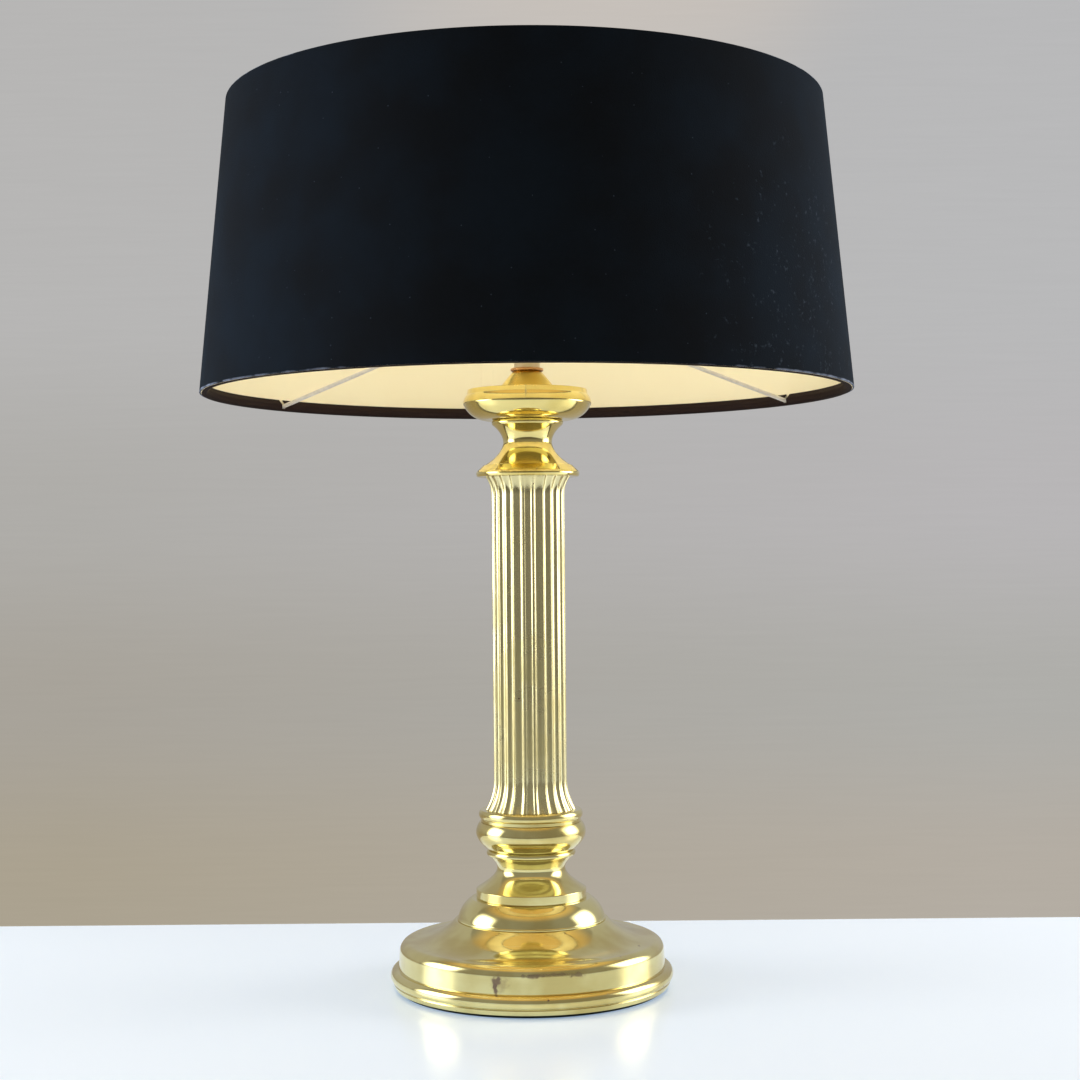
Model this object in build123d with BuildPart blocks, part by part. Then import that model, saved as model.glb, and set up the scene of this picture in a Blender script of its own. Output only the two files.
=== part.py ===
"""Column table lamp: a fluted brass column on a spun brass foot, under a lined drum shade.

Millimetres.  +Z is up, the front faces -Y, and the origin is the centre of the
felt underside.  The brass pieces are stacked on a threaded tube and clamped
between a nut in the foot and the lampholder.  The lampholder carries the bulb
and, between two screw rings, the wire frame of the shade.
"""

from build123d import *
import math
import os

# Foot
FELT_THICKNESS = 2.0
FELT_MARGIN = 2.5
FOOT_RADIUS = 98.0
FOOT_EDGE_SET_BACK = 3.0
FOOT_GROOVE_SET_BACK = 1.6
FOOT_GROOVE_HEIGHT = 4.0
FOOT_WIDEST_HEIGHT = 7.5
FOOT_RING_HEIGHT = 12.8
LEDGE_SET_BACK = 4.0
BAND_SET_BACK = 6.0
BAND_HEIGHT = 13.7
SHOULDER_ROUND = 4.5
SADDLE_RISE = 14.0
SADDLE_MARGIN = 1.4
SHELL_WALL = 1.2

# Ballast in the foot
BALLAST_GAP = 2.8
BALLAST_HEIGHT = 20.0
BALLAST_CHAMFER = 2.0
BALLAST_BOSS_RADIUS = 22.0
NUT_POCKET_RADIUS = 18.0
NUT_POCKET_DEPTH = 10.0
CORD_SLOT_WIDTH = 11.0

# Cord inlet in the back of the band
INLET_BORE_RADIUS = 3.5
INLET_BARREL_RADIUS = 5.0
INLET_FLANGE_RADIUS = 6.4
INLET_FLANGE_THICKNESS = 2.0
INLET_BARREL_TAIL = 2.2

# Threaded tube and what clamps the stack
ROD_RADIUS = 5.0
ROD_BORE_RADIUS = 3.5
ROD_CLEARANCE = 0.4
ROD_FOOT_GAP = 1.0
NUT_ACROSS_FLATS = 17.0
NUT_HEIGHT = 7.0
CLAMP_WASHER_RADIUS = 15.0
CLAMP_WASHER_THICKNESS = 2.0

# Dome on the foot
DOME_LIP_RADIUS = 51.6
DOME_LIP_HEIGHT = 1.2
DOME_HEIGHT = 14.8
DOME_BELLY_SET_BACK = 3.4
DOME_BELLY_HEIGHT = 8.3
DOME_TOP_RADIUS = 41.5
DOME_WALL = 1.0
SPACER_RADIUS = 11.0

# Pedestal
PEDESTAL_RADIUS = 38.3
PEDESTAL_BAND_HEIGHT = 6.2
PEDESTAL_WAIST_RADIUS = 23.9
PEDESTAL_WAIST_HEIGHT = 22.0
PEDESTAL_HEIGHT = 33.4
PEDESTAL_BEAD_RADIUS = 31.0
PEDESTAL_BEAD_HEIGHT = 4.6
PEDESTAL_FOOT_DIRECTION = (-1.0, 0.65)
PEDESTAL_HEAD_DIRECTION = (0.75, 1.0)
CASTING_WALL = 3.2
CASTING_WEB = 4.0

# Bowl and ring that carry the column
BOWL_FOOT_RADIUS = 30.0
BOWL_RADIUS = 38.2
BOWL_TOP_RADIUS = 35.6
BOWL_CREST_HEIGHT = 11.9
BOWL_HEIGHT = 19.2
BOWL_FOOT_DIRECTION = (1.0, 0.8)
BOWL_RIM_DIRECTION = (-0.75, 1.0)
RING_RADIUS = 36.2
RING_GROOVE_DEPTH = 1.4
RING_GROOVE_HEIGHT = 2.2
RING_HEIGHT = 8.4
RING_EDGE = 1.4

# Fluted column
COLUMN_LENGTH = 230.9
COLUMN_RADIUS = 25.4
COLUMN_WALL = 1.3
FLUTE_COUNT = 24
FLUTE_DEPTH = 1.35
FLUTE_CUT_RADIUS = 3.4
FOOT_FLARE_LENGTH = 21.2
FOOT_FLARE_RADIUS = 41.0
HEAD_FLARE_LENGTH = 12.7
HEAD_FLARE_RADIUS = 21.7
FLUTE_FADE = 2.2
FLUTE_RUN_OUT = 12.0
SPIGOT_HEIGHT = 5.0
SPIGOT_CLEARANCE = 0.2

# Flange and neck over the column
FLANGE_RADIUS = 36.1
FLANGE_RIM_HEIGHT = 4.4
FLANGE_EDGE = 1.1
FLANGE_HEIGHT = 8.1
FLANGE_TOP_RADIUS = 31.0
NECK_FOOT_RADIUS = 30.4
NECK_HEIGHT = 31.5
NECK_WAIST_RADIUS = 17.1
NECK_WAIST_HEIGHT = 16.6
NECK_BEAD_RADIUS = 25.0
NECK_BEAD_HEIGHT = 3.8
NECK_FOOT_DIRECTION = (-1.0, 0.55)
NECK_HEAD_DIRECTION = (1.0, 0.75)

# Dish and bell cap under the lampholder
DISH_RADIUS = 44.5
DISH_FLOOR_RADIUS = 30.0
DISH_FLOOR_DIRECTION = (1.0, 0.1)
DISH_BELLY_HEIGHT = 11.0
DISH_SHOULDER_SET_BACK = 0.5
DISH_SHOULDER_HEIGHT = 14.8
DISH_LIP_SET_BACK = 2.9
DISH_LIP_FLARE = 0.5
DISH_LIP_HEIGHT = 3.4
DISH_HEIGHT = 21.1
DISH_WALL = 1.0
BELL_RADIUS = 24.0
BELL_BAND_HEIGHT = 14.0
BELL_TOP_RADIUS = 9.5
BELL_HEIGHT = 33.1
BELL_WALL = 1.0
LOCK_DISC_RADIUS = 11.4
LOCK_DISC_THICKNESS = 2.0
LOCK_DISC_CHAMFER = 0.4

# Lampholder
HOLDER_NECK_RADIUS = 9.0
HOLDER_NECK_HEIGHT = 8.0
HOLDER_RADIUS = 19.8
HOLDER_CAP_HEIGHT = 23.0
HOLDER_BAND_HEIGHT = 5.8
HOLDER_SHOULDER_ROUND = 14.0
HOLDER_SKIRT_HEIGHT = 36.0
HOLDER_SKIRT_CHAMFER = 0.5
HOLDER_WALL = 1.6
INSULATOR_HEIGHT = 14.0
INSULATOR_GAP = 0.3
INSULATOR_CHAMFER = 1.5
CONTACT_THICKNESS = 0.8
CONTACT_WIDTH = 7.0
CONTACT_BASE_REACH = 7.0
CONTACT_TONGUE_REACH = 3.5
CONTACT_TONGUE_ROOT = 1.75
CONTACT_RISE = 3.0
SCREW_SHELL_WALL = 0.5
SCREW_SHELL_HEIGHT = 26.0
TERMINAL_RADIUS = 2.0
TERMINAL_DEPTH = 5.0
TERMINAL_HEAD_HEIGHT = 1.7
TERMINAL_SPACING = 22.0
RING_GRIP_RADIUS = 25.0
REST_RING_HEIGHT = 5.0
REST_RING_LEVEL = 10.0
CLAMP_RING_HEIGHT = 6.0
GRIP_NOTCH_COUNT = 24
GRIP_NOTCH_RADIUS = 0.8
RUNNING_GAP = 0.3

# Bulb
BULB_CAP_RADIUS = 13.1
BULB_CAP_HEIGHT = 24.0
BULB_CAP_WALL = 0.4
BULB_TIP_RADIUS = 4.8
BULB_TIP_HEIGHT = 1.6
BULB_INSULATOR_HEIGHT = 2.6
BULB_INSULATOR_MARGIN = 1.0
BULB_NECK_RADIUS = 13.6
BULB_RADIUS = 30.0
BULB_GLASS_HEIGHT = 80.0
BULB_GLASS_WALL = 1.0
BULB_GLOBE_START_ANGLE = -28.0

# Shade
SHADE_BOTTOM_LEVEL = 411.0
SHADE_HEIGHT = 199.4
SHADE_BOTTOM_RADIUS = 225.0
SHADE_TOP_RADIUS = 206.0
FABRIC_THICKNESS = 1.1
LINING_THICKNESS = 0.5
HEM_THICKNESS = 0.6
HEM_HEIGHT = 7.5
HEM_NOTCH_WIDTH = 7.0
HEM_NOTCH_DEPTH = 6.0
WIRE_RADIUS = 1.5
WIRE_GAP = 0.1
STRUT_COUNT = 3
STRUT_FIRST_ANGLE = 28.0
FITTER_OPENING_RADIUS = 20.7
FITTER_RADIUS = 28.0
FITTER_THICKNESS = 1.6

# Radii of the foot, each set back from its widest ring, and of the saddle that seats the dome
foot_edge_radius = FOOT_RADIUS - FOOT_EDGE_SET_BACK
foot_groove_radius = FOOT_RADIUS - FOOT_GROOVE_SET_BACK
ledge_radius = FOOT_RADIUS - LEDGE_SET_BACK
band_radius = FOOT_RADIUS - BAND_SET_BACK
saddle_flat_radius = DOME_LIP_RADIUS + SADDLE_MARGIN

# Levels, each piece standing on the one below
felt_top = FELT_THICKNESS
ledge_level = felt_top + FOOT_RING_HEIGHT
band_top = ledge_level + BAND_HEIGHT
shoulder_level = band_top + SHOULDER_ROUND
saddle_level = shoulder_level + SADDLE_RISE
dome_top = saddle_level + DOME_HEIGHT
pedestal_top = dome_top + PEDESTAL_HEIGHT
bowl_top = pedestal_top + BOWL_HEIGHT
ring_top = bowl_top + RING_HEIGHT
column_top = ring_top + COLUMN_LENGTH
flange_top = column_top + FLANGE_HEIGHT
neck_top = flange_top + NECK_HEIGHT
dish_floor = neck_top + DISH_WALL
dish_top = neck_top + DISH_HEIGHT
bell_top = dish_floor + BELL_HEIGHT
holder_bottom = bell_top + LOCK_DISC_THICKNESS
holder_cap_top = holder_bottom + HOLDER_CAP_HEIGHT
rod_hole_radius = ROD_RADIUS + ROD_CLEARANCE

os.makedirs("parts", exist_ok=True)


def write_part(builder, name):
    """Label one finished sub-part and write it to its own file."""
    builder.part.label = name
    export_step(builder.part, f"parts/{name}.step")


# Felt pad: the soft disc that the lamp stands on
with BuildPart() as felt_pad:
    with BuildSketch():
        Circle(foot_edge_radius - FELT_MARGIN)
    extrude(amount=FELT_THICKNESS)
write_part(felt_pad, "felt_pad")


# Foot shell: one spinning, from the rolled foot edge up to the seat of the dome
inlet_level = ledge_level + BAND_HEIGHT / 2
with BuildPart() as base_shell:
    with BuildSketch(Plane.XZ):
        with BuildLine():
            edge_point = (foot_edge_radius, felt_top)
            groove_point = (foot_groove_radius, felt_top + FOOT_GROOVE_HEIGHT)
            widest_point = (FOOT_RADIUS, felt_top + FOOT_WIDEST_HEIGHT)
            ledge_point = (ledge_radius, ledge_level)
            band_head = (band_radius, band_top)
            shoulder_point = (band_radius - SHOULDER_ROUND, shoulder_level)
            saddle_point = (saddle_flat_radius, saddle_level)
            Line(edge_point, groove_point)
            ThreePointArc(groove_point, widest_point, ledge_point)
            Polyline(ledge_point, (band_radius, ledge_level), band_head)
            RadiusArc(band_head, shoulder_point, -SHOULDER_ROUND)
            TangentArc(shoulder_point, saddle_point, tangent=(-1, 0))
            Line(saddle_point, (rod_hole_radius, saddle_level))
            offset(amount=SHELL_WALL, side=Side.LEFT)
        make_face()
    revolve(axis=Axis.Z)
    with BuildSketch(Plane.XZ.offset(-band_radius)):
        with Locations((0, inlet_level)):
            Circle(INLET_BARREL_RADIUS)
    extrude(amount=2 * SHELL_WALL, both=True, mode=Mode.SUBTRACT)
write_part(base_shell, "base_shell")


# Ballast: a cast disc with a central boss under the saddle, open at the back for the cord
with BuildPart() as base_ballast:
    ballast_radius = band_radius - SHELL_WALL - BALLAST_GAP
    boss_top = saddle_level - SHELL_WALL
    with BuildSketch(Plane.XY.offset(felt_top)):
        Circle(ballast_radius)
    extrude(amount=BALLAST_HEIGHT)
    chamfer(base_ballast.edges().group_by(Axis.Z)[-1], length=BALLAST_CHAMFER)
    with BuildSketch(Plane.XY.offset(felt_top + BALLAST_HEIGHT)):
        Circle(BALLAST_BOSS_RADIUS)
    extrude(amount=boss_top - felt_top - BALLAST_HEIGHT)
    with BuildSketch(Plane.XY.offset(felt_top)):
        Circle(NUT_POCKET_RADIUS)
        with Locations((0, ballast_radius / 2)):
            Rectangle(CORD_SLOT_WIDTH, ballast_radius)
    extrude(amount=NUT_POCKET_DEPTH, mode=Mode.SUBTRACT)
    with BuildSketch(Plane.XY.offset(felt_top)):
        with Locations((0, BALLAST_BOSS_RADIUS + ballast_radius / 2)):
            Rectangle(CORD_SLOT_WIDTH, ballast_radius)
    extrude(amount=BALLAST_HEIGHT, mode=Mode.SUBTRACT)
    with BuildSketch(Plane.XY.offset(felt_top)):
        Circle(rod_hole_radius)
    extrude(amount=boss_top, mode=Mode.SUBTRACT)
write_part(base_ballast, "base_ballast")


# Cord inlet: the flanged bushing in the back of the band
inlet_plane = Plane(origin=(0, band_radius, inlet_level), x_dir=(1, 0, 0), z_dir=(0, 1, 0))
with BuildPart() as cord_inlet:
    with BuildSketch(inlet_plane):
        Circle(INLET_FLANGE_RADIUS)
    extrude(amount=INLET_FLANGE_THICKNESS)
    fillet(cord_inlet.edges().group_by(Axis.Y)[-1], radius=INLET_FLANGE_THICKNESS / 2)
    with BuildSketch(inlet_plane):
        Circle(INLET_BARREL_RADIUS)
    extrude(amount=-SHELL_WALL - INLET_BARREL_TAIL)
    with BuildSketch(inlet_plane.offset(INLET_FLANGE_THICKNESS)):
        Circle(INLET_BORE_RADIUS)
    extrude(amount=-INLET_FLANGE_THICKNESS - SHELL_WALL - INLET_BARREL_TAIL, mode=Mode.SUBTRACT)
write_part(cord_inlet, "cord_inlet")


# Threaded tube up the middle, with the washer and nut that pull the stack together
rod_bottom = felt_top + ROD_FOOT_GAP
rod_top = holder_bottom + HOLDER_NECK_HEIGHT
washer_top = felt_top + NUT_POCKET_DEPTH
nut_top = washer_top - CLAMP_WASHER_THICKNESS
with BuildPart() as tie_rod:
    with BuildSketch(Plane.XY.offset(rod_bottom)):
        Circle(ROD_RADIUS)
        Circle(ROD_BORE_RADIUS, mode=Mode.SUBTRACT)
    extrude(amount=rod_top - rod_bottom)
write_part(tie_rod, "tie_rod")

with BuildPart() as clamp_washer:
    with BuildSketch(Plane.XY.offset(nut_top)):
        Circle(CLAMP_WASHER_RADIUS)
        Circle(rod_hole_radius, mode=Mode.SUBTRACT)
    extrude(amount=CLAMP_WASHER_THICKNESS)
write_part(clamp_washer, "clamp_washer")

with BuildPart() as clamp_nut:
    with BuildSketch(Plane.XY.offset(nut_top - NUT_HEIGHT)):
        RegularPolygon(NUT_ACROSS_FLATS / 2, 6, major_radius=False)
        Circle(ROD_RADIUS, mode=Mode.SUBTRACT)
    extrude(amount=NUT_HEIGHT)
write_part(clamp_nut, "clamp_nut")


# Dome: a second spinning that stands on the saddle by its beaded lip
with BuildPart() as base_dome:
    with BuildSketch(Plane.XZ):
        with BuildLine():
            lip_top = (DOME_LIP_RADIUS, saddle_level + DOME_LIP_HEIGHT)
            wall_foot = (DOME_LIP_RADIUS - DOME_LIP_HEIGHT / 2, saddle_level + 1.5 * DOME_LIP_HEIGHT)
            belly_point = (DOME_LIP_RADIUS - DOME_BELLY_SET_BACK, saddle_level + DOME_BELLY_HEIGHT)
            Line((DOME_LIP_RADIUS, saddle_level), lip_top)
            Line(lip_top, wall_foot)
            ThreePointArc(wall_foot, belly_point, (DOME_TOP_RADIUS, dome_top))
            Line((DOME_TOP_RADIUS, dome_top), (rod_hole_radius, dome_top))
            offset(amount=DOME_WALL, side=Side.LEFT)
        make_face()
    revolve(axis=Axis.Z)
write_part(base_dome, "base_dome")

with BuildPart() as dome_spacer:
    with BuildSketch(Plane.XY.offset(saddle_level)):
        Circle(SPACER_RADIUS)
        Circle(rod_hole_radius, mode=Mode.SUBTRACT)
    extrude(amount=DOME_HEIGHT - DOME_WALL)
write_part(dome_spacer, "dome_spacer")


# Pedestal: a turned casting with a plain band, a waist and a bead
bead_bottom = pedestal_top - PEDESTAL_BEAD_HEIGHT
pedestal_waist = dome_top + PEDESTAL_WAIST_HEIGHT
pedestal_core = PEDESTAL_WAIST_RADIUS - CASTING_WALL
with BuildPart() as pedestal:
    with BuildSketch(Plane.XZ):
        with BuildLine():
            band_corner = (PEDESTAL_RADIUS, dome_top + PEDESTAL_BAND_HEIGHT)
            bead_foot = (PEDESTAL_BEAD_RADIUS - PEDESTAL_BEAD_HEIGHT / 2, bead_bottom)
            bead_crest = (PEDESTAL_BEAD_RADIUS, pedestal_top - PEDESTAL_BEAD_HEIGHT / 2)
            bead_head = (PEDESTAL_BEAD_RADIUS - PEDESTAL_BEAD_HEIGHT / 2, pedestal_top)
            web_level = pedestal_top - CASTING_WEB
            Polyline(
                (rod_hole_radius, web_level),
                (pedestal_core, web_level),
                (pedestal_core, dome_top),
                (PEDESTAL_RADIUS, dome_top),
                band_corner,
            )
            Spline(
                band_corner,
                (PEDESTAL_WAIST_RADIUS, pedestal_waist),
                bead_foot,
                tangents=[PEDESTAL_FOOT_DIRECTION, PEDESTAL_HEAD_DIRECTION],
            )
            ThreePointArc(bead_foot, bead_crest, bead_head)
            Polyline(bead_head, (rod_hole_radius, pedestal_top), (rod_hole_radius, web_level))
        make_face()
    revolve(axis=Axis.Z)
write_part(pedestal, "pedestal")


# Bowl: the swelling between the pedestal and the ring
bowl_core = BOWL_FOOT_RADIUS - CASTING_WALL
with BuildPart() as lower_bowl:
    with BuildSketch(Plane.XZ):
        with BuildLine():
            bowl_foot = (BOWL_FOOT_RADIUS, pedestal_top)
            bowl_rim = (BOWL_TOP_RADIUS, bowl_top)
            bowl_crest = (BOWL_RADIUS, pedestal_top + BOWL_CREST_HEIGHT)
            Spline(bowl_foot, bowl_crest, bowl_rim, tangents=[BOWL_FOOT_DIRECTION, BOWL_RIM_DIRECTION])
            Polyline(
                bowl_rim,
                (bowl_core, bowl_top),
                (bowl_core, pedestal_top + CASTING_WEB),
                (rod_hole_radius, pedestal_top + CASTING_WEB),
                (rod_hole_radius, pedestal_top),
                bowl_foot,
            )
        make_face()
    revolve(axis=Axis.Z)
write_part(lower_bowl, "lower_bowl")


# Ring: the grooved plate that the column stands on, with a spigot inside the tube
column_bore = COLUMN_RADIUS - FLUTE_DEPTH - COLUMN_WALL
spigot_radius = column_bore - SPIGOT_CLEARANCE
with BuildPart() as lower_ring:
    with BuildSketch(Plane.XZ):
        with BuildLine():
            groove_radius = RING_RADIUS - RING_GROOVE_DEPTH
            groove_top = bowl_top + RING_GROOVE_HEIGHT
            Polyline(
                (rod_hole_radius, bowl_top),
                (groove_radius, bowl_top),
                (groove_radius, groove_top),
                (RING_RADIUS, groove_top),
                (RING_RADIUS, ring_top - RING_EDGE),
            )
            RadiusArc((RING_RADIUS, ring_top - RING_EDGE), (RING_RADIUS - RING_EDGE, ring_top), -RING_EDGE)
            Polyline(
                (RING_RADIUS - RING_EDGE, ring_top),
                (spigot_radius, ring_top),
                (spigot_radius, ring_top + SPIGOT_HEIGHT),
                (rod_hole_radius, ring_top + SPIGOT_HEIGHT),
                (rod_hole_radius, bowl_top),
            )
        make_face()
    revolve(axis=Axis.Z)
write_part(lower_ring, "lower_ring")


# Column: a tube with flared ends and concave flutes that follow the flares
foot_flare_start = ring_top + FOOT_FLARE_LENGTH
head_flare_start = column_top - HEAD_FLARE_LENGTH


def flare_reach(arc_radius, length):
    """How far a flare of this radius and length runs out from the straight wall."""
    return arc_radius - math.sqrt(arc_radius**2 - length**2)


def flare_turn(arc_radius, length):
    """Degrees that the flute's tool turns along a flare, until it has left the tube."""
    return math.degrees(math.asin(length / arc_radius)) + FLUTE_RUN_OUT


foot_flare_radius = COLUMN_RADIUS + flare_reach(FOOT_FLARE_RADIUS, FOOT_FLARE_LENGTH)
head_flare_radius = COLUMN_RADIUS + flare_reach(HEAD_FLARE_RADIUS, HEAD_FLARE_LENGTH)
flute_axis = COLUMN_RADIUS - FLUTE_DEPTH + FLUTE_CUT_RADIUS
flute_path_inset = FLUTE_CUT_RADIUS - FLUTE_DEPTH + FLUTE_FADE
foot_path_axis = Axis((flute_axis + FOOT_FLARE_RADIUS - flute_path_inset, 0, foot_flare_start), (0, 1, 0))
head_path_axis = Axis((flute_axis + HEAD_FLARE_RADIUS - flute_path_inset, 0, head_flare_start), (0, 1, 0))
with BuildPart() as flute_cutter:
    with BuildSketch(Plane.XY.offset(foot_flare_start)):
        with Locations((flute_axis, 0)):
            Circle(FLUTE_CUT_RADIUS)
    extrude(amount=head_flare_start - foot_flare_start)
    revolve(
        flute_cutter.faces().sort_by(Axis.Z)[0],
        axis=foot_path_axis,
        revolution_arc=-flare_turn(FOOT_FLARE_RADIUS, FOOT_FLARE_LENGTH),
    )
    revolve(
        flute_cutter.faces().sort_by(Axis.Z)[-1],
        axis=head_path_axis,
        revolution_arc=flare_turn(HEAD_FLARE_RADIUS, HEAD_FLARE_LENGTH),
    )

with BuildPart() as column_tube:
    with BuildSketch(Plane.XZ):
        with BuildLine():
            Polyline(
                (foot_flare_radius, ring_top),
                (column_bore, ring_top),
                (column_bore, column_top),
                (head_flare_radius, column_top),
            )
            RadiusArc((head_flare_radius, column_top), (COLUMN_RADIUS, head_flare_start), HEAD_FLARE_RADIUS)
            Line((COLUMN_RADIUS, head_flare_start), (COLUMN_RADIUS, foot_flare_start))
            RadiusArc((COLUMN_RADIUS, foot_flare_start), (foot_flare_radius, ring_top), FOOT_FLARE_RADIUS)
        make_face()
    revolve(axis=Axis.Z)
    with PolarLocations(0, FLUTE_COUNT):
        add(flute_cutter.part, mode=Mode.SUBTRACT)
write_part(column_tube, "column_tube")


# Flange: the plate on the column, with a spigot down into the tube
with BuildPart() as upper_flange:
    with BuildSketch(Plane.XZ):
        with BuildLine():
            rim_top = column_top + FLANGE_RIM_HEIGHT
            edge_circle = FLANGE_RADIUS - FLANGE_EDGE
            rim_foot = (FLANGE_RADIUS, column_top + FLANGE_EDGE)
            rim_head = (FLANGE_RADIUS, rim_top - FLANGE_EDGE)
            Polyline(
                (rod_hole_radius, flange_top),
                (rod_hole_radius, column_top - SPIGOT_HEIGHT),
                (spigot_radius, column_top - SPIGOT_HEIGHT),
                (spigot_radius, column_top),
                (edge_circle, column_top),
            )
            RadiusArc((edge_circle, column_top), rim_foot, -FLANGE_EDGE)
            Line(rim_foot, rim_head)
            RadiusArc(rim_head, (edge_circle, rim_top), -FLANGE_EDGE)
            Polyline((edge_circle, rim_top), (FLANGE_TOP_RADIUS, flange_top), (rod_hole_radius, flange_top))
        make_face()
    revolve(axis=Axis.Z)
write_part(upper_flange, "upper_flange")


# Neck: the waisted spool between the flange and the dish
neck_bead_bottom = neck_top - NECK_BEAD_HEIGHT
neck_waist = flange_top + NECK_WAIST_HEIGHT
neck_core = NECK_WAIST_RADIUS - CASTING_WALL
bead_round = NECK_BEAD_HEIGHT / 4
with BuildPart() as capital_neck:
    with BuildSketch(Plane.XZ):
        with BuildLine():
            neck_head = (NECK_BEAD_RADIUS - bead_round, neck_bead_bottom)
            Polyline(
                (rod_hole_radius, neck_top - CASTING_WEB),
                (neck_core, neck_top - CASTING_WEB),
                (neck_core, flange_top),
                (NECK_FOOT_RADIUS, flange_top),
            )
            Spline(
                (NECK_FOOT_RADIUS, flange_top),
                (NECK_WAIST_RADIUS, neck_waist),
                neck_head,
                tangents=[NECK_FOOT_DIRECTION, NECK_HEAD_DIRECTION],
            )
            RadiusArc(neck_head, (NECK_BEAD_RADIUS, neck_bead_bottom + bead_round), -bead_round)
            Line((NECK_BEAD_RADIUS, neck_bead_bottom + bead_round), (NECK_BEAD_RADIUS, neck_top))
            Polyline(
                (NECK_BEAD_RADIUS, neck_top),
                (rod_hole_radius, neck_top),
                (rod_hole_radius, neck_top - CASTING_WEB),
            )
        make_face()
    revolve(axis=Axis.Z)
write_part(capital_neck, "capital_neck")


# Dish: an open spinning with a round belly and an upright lip
dish_lip_radius = DISH_RADIUS - DISH_LIP_SET_BACK
with BuildPart() as drip_dish:
    with BuildSketch(Plane.XZ):
        with BuildLine():
            dish_belly = (DISH_RADIUS, neck_top + DISH_BELLY_HEIGHT)
            dish_shoulder = (DISH_RADIUS - DISH_SHOULDER_SET_BACK, neck_top + DISH_SHOULDER_HEIGHT)
            lip_foot = (dish_lip_radius + DISH_LIP_FLARE, dish_top - DISH_LIP_HEIGHT)
            Line((rod_hole_radius, neck_top), (DISH_FLOOR_RADIUS, neck_top))
            TangentArc((DISH_FLOOR_RADIUS, neck_top), dish_belly, tangent=DISH_FLOOR_DIRECTION)
            ThreePointArc(dish_belly, dish_shoulder, lip_foot)
            Line(lip_foot, (dish_lip_radius, dish_top))
            offset(amount=DISH_WALL, side=Side.LEFT)
        make_face()
    revolve(axis=Axis.Z)
write_part(drip_dish, "drip_dish")


# Bell cap in the dish, and the round lock disc on its nose
with BuildPart() as bell_cap:
    with BuildSketch(Plane.XZ):
        with BuildLine():
            Polyline(
                (BELL_RADIUS, dish_floor),
                (BELL_RADIUS, dish_floor + BELL_BAND_HEIGHT),
                (BELL_TOP_RADIUS, bell_top),
                (rod_hole_radius, bell_top),
            )
            offset(amount=BELL_WALL, side=Side.LEFT)
        make_face()
    revolve(axis=Axis.Z)
write_part(bell_cap, "bell_cap")

with BuildPart() as lock_disc:
    with BuildSketch(Plane.XY.offset(bell_top)):
        Circle(LOCK_DISC_RADIUS)
        Circle(ROD_RADIUS, mode=Mode.SUBTRACT)
    extrude(amount=LOCK_DISC_THICKNESS)
    disc_rims = lock_disc.edges().filter_by(GeomType.CIRCLE).group_by(SortBy.RADIUS)[-1]
    chamfer(disc_rims, length=LOCK_DISC_CHAMFER)
write_part(lock_disc, "lock_disc")


# Lampholder cap: a moulded hood screwed on the threaded tube
cap_shoulder = holder_bottom + HOLDER_NECK_HEIGHT
with BuildPart() as holder_cap:
    with BuildSketch(Plane.XZ):
        with BuildLine():
            cap_inside = HOLDER_RADIUS - HOLDER_WALL
            cap_band_foot = holder_cap_top - HOLDER_BAND_HEIGHT
            collar_top = (HOLDER_NECK_RADIUS, cap_shoulder - HOLDER_WALL)
            Polyline(
                (cap_inside, cap_band_foot),
                (cap_inside, holder_cap_top),
                (HOLDER_RADIUS, holder_cap_top),
                (HOLDER_RADIUS, cap_band_foot),
            )
            RadiusArc((HOLDER_RADIUS, cap_band_foot), collar_top, HOLDER_SHOULDER_ROUND)
            Polyline(
                collar_top,
                (HOLDER_NECK_RADIUS, holder_bottom),
                (ROD_RADIUS, holder_bottom),
                (ROD_RADIUS, cap_shoulder),
            )
            inner_round = HOLDER_SHOULDER_ROUND - HOLDER_WALL
            RadiusArc((ROD_RADIUS, cap_shoulder), (cap_inside, cap_band_foot), -inner_round)
        make_face()
    revolve(axis=Axis.Z)
write_part(holder_cap, "holder_cap")


# Lampholder skirt: the threaded sleeve that the shade rings screw onto
with BuildPart() as holder_skirt:
    with BuildSketch(Plane.XY.offset(holder_cap_top)):
        Circle(HOLDER_RADIUS)
        Circle(HOLDER_RADIUS - HOLDER_WALL, mode=Mode.SUBTRACT)
    extrude(amount=HOLDER_SKIRT_HEIGHT)
    chamfer(holder_skirt.edges().group_by(Axis.Z)[-1], length=HOLDER_SKIRT_CHAMFER)
write_part(holder_skirt, "holder_skirt")


# Works inside the lampholder: insulator, centre contact, screw shell and terminals
insulator_radius = HOLDER_RADIUS - HOLDER_WALL - INSULATOR_GAP
insulator_bottom = holder_cap_top - INSULATOR_HEIGHT / 2
insulator_top = insulator_bottom + INSULATOR_HEIGHT
shell_inside = BULB_CAP_RADIUS + RUNNING_GAP
shell_outside = shell_inside + SCREW_SHELL_WALL
with BuildPart() as holder_insulator:
    with BuildSketch(Plane.XY.offset(insulator_bottom)):
        Circle(insulator_radius)
    extrude(amount=INSULATOR_HEIGHT)
    chamfer(holder_insulator.edges().group_by(Axis.Z)[0], length=INSULATOR_CHAMFER)
    terminal_plane = Plane.XY.offset(insulator_bottom)
    with BuildSketch(terminal_plane):
        with Locations((-TERMINAL_SPACING / 2, 0), (TERMINAL_SPACING / 2, 0)):
            Circle(TERMINAL_RADIUS)
    extrude(amount=TERMINAL_DEPTH, mode=Mode.SUBTRACT)
write_part(holder_insulator, "holder_insulator")

with BuildPart() as terminal_screws:
    with BuildSketch(terminal_plane.offset(-TERMINAL_HEAD_HEIGHT)):
        with Locations((-TERMINAL_SPACING / 2, 0), (TERMINAL_SPACING / 2, 0)):
            Circle(TERMINAL_RADIUS)
    extrude(amount=TERMINAL_HEAD_HEIGHT + TERMINAL_DEPTH)
write_part(terminal_screws, "terminal_screws")

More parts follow.
